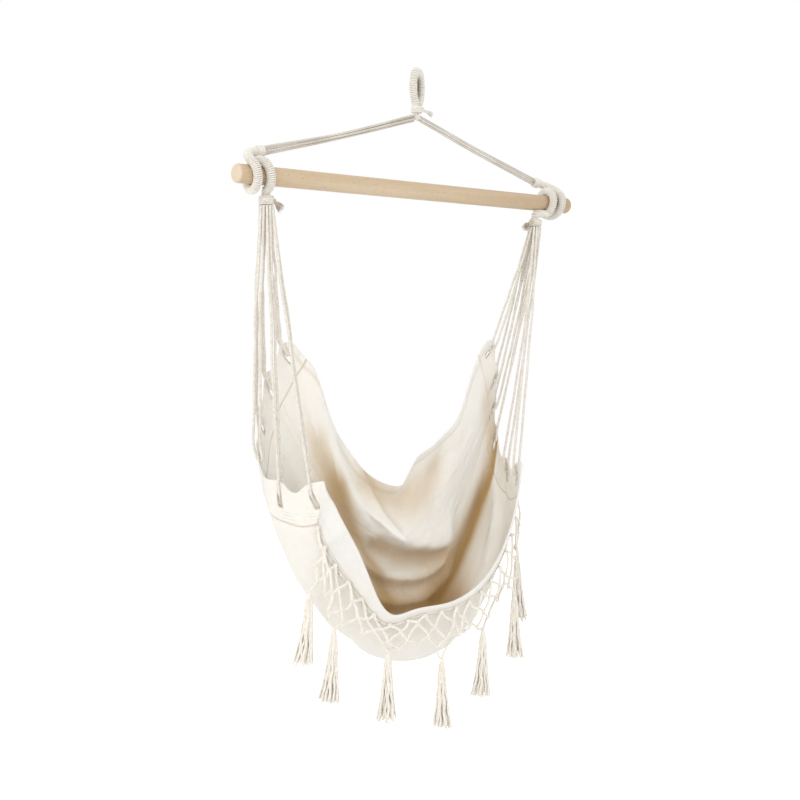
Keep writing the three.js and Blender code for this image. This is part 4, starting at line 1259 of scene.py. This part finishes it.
# From the binding down through the buttonhole and back: outer is 1 for the outer leg and -1 for the inner
def seatCordPoints(side, index):
    sign, share = sideSigns[side], seat["slots"][index]
    diameter, gap = seatCord["diameter"], binding["fitGap"]
    ringRadius = binding["diameter"] / 2 - diameter / 2 - gap
    ringLevel = pivotLevel - math.sqrt((binding["domeRadius"] + gap + diameter * 0.3) ** 2 - ringRadius**2)
    bendInset = seatCord["crossing"] - standOff / 2
    shares = np.linspace(0, 1, 12)[1:-1]

    def place(inset, height):
        across = sign * (1 - insetShare(share, inset))
        return seatBase(across, share) + outward(across, share) * height

    def ringPlace(outer):
        step = 180 / len(seat["slots"])
        turn = -outer if index == 0 else outer
        angle = math.radians(180 - step * (2 * index + 0.5) + turn * step / 2)
        x = sign * (binding["reach"][side] + math.cos(angle) * ringRadius)
        return np.array([x, -binding["forward"] + math.sin(angle) * ringRadius, ringLevel])

    def leg(outer):
        top = ringPlace(outer)
        edge = place(-diameter, outer * standOff * 1.3)
        slot = place(bendInset - diameter, outer * standOff * 1.15)
        rng = np.random.default_rng(index * 10 + int(outer) + (50 if sign > 0 else 1))
        phase = rng.uniform(0, 6.28)
        bow = outward(sign, share) * outer * seatCord["spread"] + [sign * seatCord["bow"], 0, 0]
        line = [top]
        for s in shares:
            wave = math.sin(s * 9 + phase) + 0.4 * math.sin(s * 23 + phase)
            wander = np.array([wave, math.cos(s * 7 + phase), 0]) * seatCord["wander"]
            line.append(top + (edge - top) * s + (bow + wander) * math.sin(s * math.pi))
        return line + [edge, slot]

    bend = []
    for angle in (90, 45, 0, -45, -90):
        turn = math.radians(angle)
        bend.append(place(bendInset + standOff * math.cos(turn), standOff * math.sin(turn)))
    return leg(1) + bend + leg(-1)[::-1]


def makeSeatCord(side, index):
    path = evenPath(seatCordPoints(side, index), 0.0019)
    radii = laidRadii(path, seatCord["diameter"] / 2, lay=seatCord["lay"])
    piece = tube("seat_loop_%s_%d" % (side, index + 1), path, radii, ropeCotton)
    settle(piece, "seat", "rope_cotton", "seat_cord_%s_%d" % (side, index + 1))


for side in sideSigns:
    for index in range(len(seat["slots"])):
        makeSeatCord(side, index)
print("seat cords made")


# Netting

net = {
    "cordDiameter": 0.0053,
    "knotDiameter": 0.008,
    "knotRadius": 0.0044,
    "knotCord": 0.0018,
    "headingRadius": 0.0015,
    "whipRadius": 0.0011,
    "whips": 110,
    "cells": 18,
    "standOff": 0.005,
    "bottomSpan": 0.576,
    "sideDrop": 0.210,
    "centreDrop": 0.377,
    "sideForward": 0.012,
    "centreForward": 0.075,
    "bottomShares": [(0, 0), (0.458, 0.22), (0.868, 0.56), (1, 1)],  # out from the middle, and up
    "rows": [0, 0.26, 0.5, 0.72, 1],
    "cellsPerTassel": 3,
    "jitter": 0.005,
    "sway": 0.0022,
}


def netTopRoute():
    across = np.linspace(-1, 1, 61)
    reach = standOff - seatCord["diameter"] / 2 + net["knotDiameter"] / 2
    line = collarPoint(across, 1) + outward(across, 1.0) * reach * 0.5
    return routeThrough(line - [0, reach * 0.85, 0], 8)


def netBottomRoute():
    points = []
    for spread, rise in net["bottomShares"]:
        forward = net["centreForward"] + (net["sideForward"] - net["centreForward"]) * rise
        drop = net["centreDrop"] + (net["sideDrop"] - net["centreDrop"]) * rise
        points.append((spread * net["bottomSpan"] / 2, -forward, hemBottom - drop))
    return routeThrough(points)


netTop, netBottom = netTopRoute(), netBottomRoute()


# A place in the net: from -1 at the left to 1 at the right, and down from its top edge to its lowest knots
def netPoint(place, down):
    top = atShares(netTop, (place + 1) / 2)
    samples = netBottom[0]
    spot = min(abs(place), 1) * (len(samples) - 1)
    low = int(min(spot, len(samples) - 2))
    bottom = samples[low] + (samples[low + 1] - samples[low]) * (spot - low)
    bottom = bottom * np.array([np.sign(place), 1, 1])
    return top + (bottom - top) * down - [0, net["standOff"] * math.sin(down * math.pi), 0]


# The last row has knots only where a tassel hangs
def netKnots():
    rng = np.random.default_rng(8)
    rows, lastRow = [], len(net["rows"]) - 1
    for row, down in enumerate(net["rows"]):
        offset = 0.5 if row % 2 else 0
        amount = 0 if row in (0, lastRow) else net["jitter"]
        knots = {}
        for cell in range(net["cells"] + 1):
            if cell + offset > net["cells"] or (row == lastRow and cell % net["cellsPerTassel"]):
                continue
            point = netPoint(2 * (cell + offset) / net["cells"] - 1, down)
            if row == lastRow:
                point = point + [0, 0, 0.0003 + net["knotDiameter"] / 2]
            knots[cell] = point + rng.normal(0, amount, 3) * [1, 0.25, 1]
        rows.append(knots)
    return rows, rng


# Each cord leaves its upper knot on one side and reaches the lower one on the other
def netCord(top, bottom, radius, rng):
    lean = np.array([bottom[0] - top[0], bottom[1] - top[1], 0])
    fall = np.array([0, 0, 0.2 * abs(top[2] - bottom[2])])
    side = unit(lean) * radius * 0.8
    leave = [top + side - fall / 2, top + lean * 0.06 + side - fall]
    arrive = [bottom - lean * 0.06 - side + fall, bottom - side + fall / 2]
    path = evenPath([top, *leave, *arrive, bottom], 0.004)
    sway = np.sin(np.linspace(0, 1, len(path)) * math.pi)
    return path + sway[:, None] * rng.normal(0, net["sway"], 3) * [1, 0.4, 1]


def makeNetting():
    rows, rng = netKnots()
    radius = net["cordDiameter"] / 2
    lines, radii = [], []
    for row in range(1, len(rows)):
        for cell, bottom in rows[row].items():
            for partner in (cell, cell + 1) if row % 2 else (cell - 1, cell):
                if partner in rows[row - 1]:
                    lines.append(netCord(rows[row - 1][partner], bottom, radius, rng))
                    radii.append(radius * rng.uniform(0.98, 1.14))
    strands = makeCords("net_strands", lines, radii, 8, fringeCotton)
    points = [point for knots in rows for point in knots.values()]
    wraps = tieKnots("net_knot_wraps", points, net["knotRadius"], 2, fringeCotton, net["knotCord"])
    across = np.linspace(-1, 1, 400)
    line = collarPoint(across, 1) + outward(across, 1.0) * 0.002
    heading = makeCords("heading_cord", [line], [net["headingRadius"]], 7, fringeCotton)
    loops = []
    for place in np.linspace(-0.99, 0.99, net["whips"]):
        near, edge = collarPoint(place, [0.965, 1.0])
        normal = outward(place, 1.0)
        beyond = edge + unit(edge - near) * 0.004
        over = (near + beyond) / 2 + normal * 0.0042
        loops.append(evenPath([near + normal * 0.0008, over, beyond, edge - normal * 0.0028], 0.0015))
    whips = makeCords("whip_stitches", loops, [net["whipRadius"]] * len(loops), 6, fringeCotton)
    piece = joined("netting_cords", [strands, wraps, heading, whips])
    settle(piece, "seat", "fringe_cotton", "netting")
    return piece


netting = makeNetting()
print("netting made")


# Tassels

tassel = {
    "length": 0.141,
    "strands": 24,
    "strandRadius": 0.0026,
    "neck": 0.0072,
    "start": 0.005,
    "skirt": 0.0215,
    "head": 0.0056,
    "headCord": 0.0019,
    "knotDrop": 0.0062,
    "headTop": 0.006,
    "headHeight": 0.0244,
    "frays": 5,
    "leans": [-0.012, -0.01, -0.003, 0.002, -0.004, 0.002, 0.004],
}


def tasselStrands(index, top):
    rng = np.random.default_rng(100 + index)
    steps = np.linspace(0, 1, 22)
    flare = 0.72 * steps**1.1 + 0.28 * steps**4
    neck = tassel["neck"] * (0.45 + 0.3 * smooth(steps, 0, 0.08))
    lean = tassel["leans"][index - 1] * steps**1.5
    full = tassel["length"] - tassel["start"] - 0.004
    lines, radii = [], []
    for k in range(tassel["strands"]):
        angle = k * goldenAngle + rng.uniform(-0.2, 0.2)
        spread = neck + (tassel["skirt"] * rng.uniform(0.92, 1.04) - neck) * flare
        reach = math.sqrt((k + 0.6) / tassel["strands"]) * spread
        waveCount, phase = rng.uniform(7, 12), rng.uniform(0, 6.28)
        wave = 0.0013 * np.sin(steps * waveCount * 2.2 + phase) * smooth(steps, 0.02, 0.2)
        x = np.cos(angle) * reach + np.cos(angle + 1.57) * wave + lean * 0.75
        y = np.sin(angle) * reach + np.sin(angle + 1.57) * wave - lean * 0.66
        z = -tassel["start"] - steps * full * rng.uniform(0.93, 1.0)
        line = top + np.stack([x, y, z], -1)
        lines.append(line)
        radii.append(tassel["strandRadius"] * rng.uniform(0.8, 1.05) * (1 - 0.25 * smooth(steps, 0.9, 1.0)))
        end, heading = line[-1], unit(line[-1] - line[-3])
        for _ in range(tassel["frays"]):
            tip = end + (heading + rng.normal(0, 0.3, 3)) * rng.uniform(0.002, 0.0045)
            lines.append(np.array([end - heading * 0.003, end, tip]))
            radii.append(np.array([0.0006, 0.0006, 0.0003]))
    return lines, radii


def makeTassel(index, place):
    top = netPoint(place, 1)
    lines, radii = tasselStrands(index, top)
    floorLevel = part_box("tassel_%d" % index)[0].z - 0.002
    for line in lines:
        line[:, 2] = np.maximum(line[:, 2], floorLevel)
    skirt = makeCords("tassel_strands_%d" % index, lines, radii, 6, fringeCotton)
    shares = np.linspace(0, 1, 12)
    path = top + np.outer(tassel["headTop"] - tassel["headHeight"] * shares, [0, 0, 1])
    headRadii = tassel["neck"] * (0.35 + 0.3 * smooth(shares, 0, 0.4))
    head = tube("tassel_head_%d" % index, path, headRadii[:, None], fringeCotton, 14)
    centres, radius = [top - [0, 0, tassel["knotDrop"]]], tassel["head"]
    knot = tieKnots("tassel_knot_%d" % index, centres, radius, index, fringeCotton, tassel["headCord"])
    piece = joined("tassel_tuft_%d" % index, [skirt, head, knot])
    settle(piece, "tassel_%d_body" % index, "fringe_cotton", "tassel_%d" % index)


for index in range(1, 8):
    makeTassel(index, -1 + (index - 1) / 3)
print("tassels made")
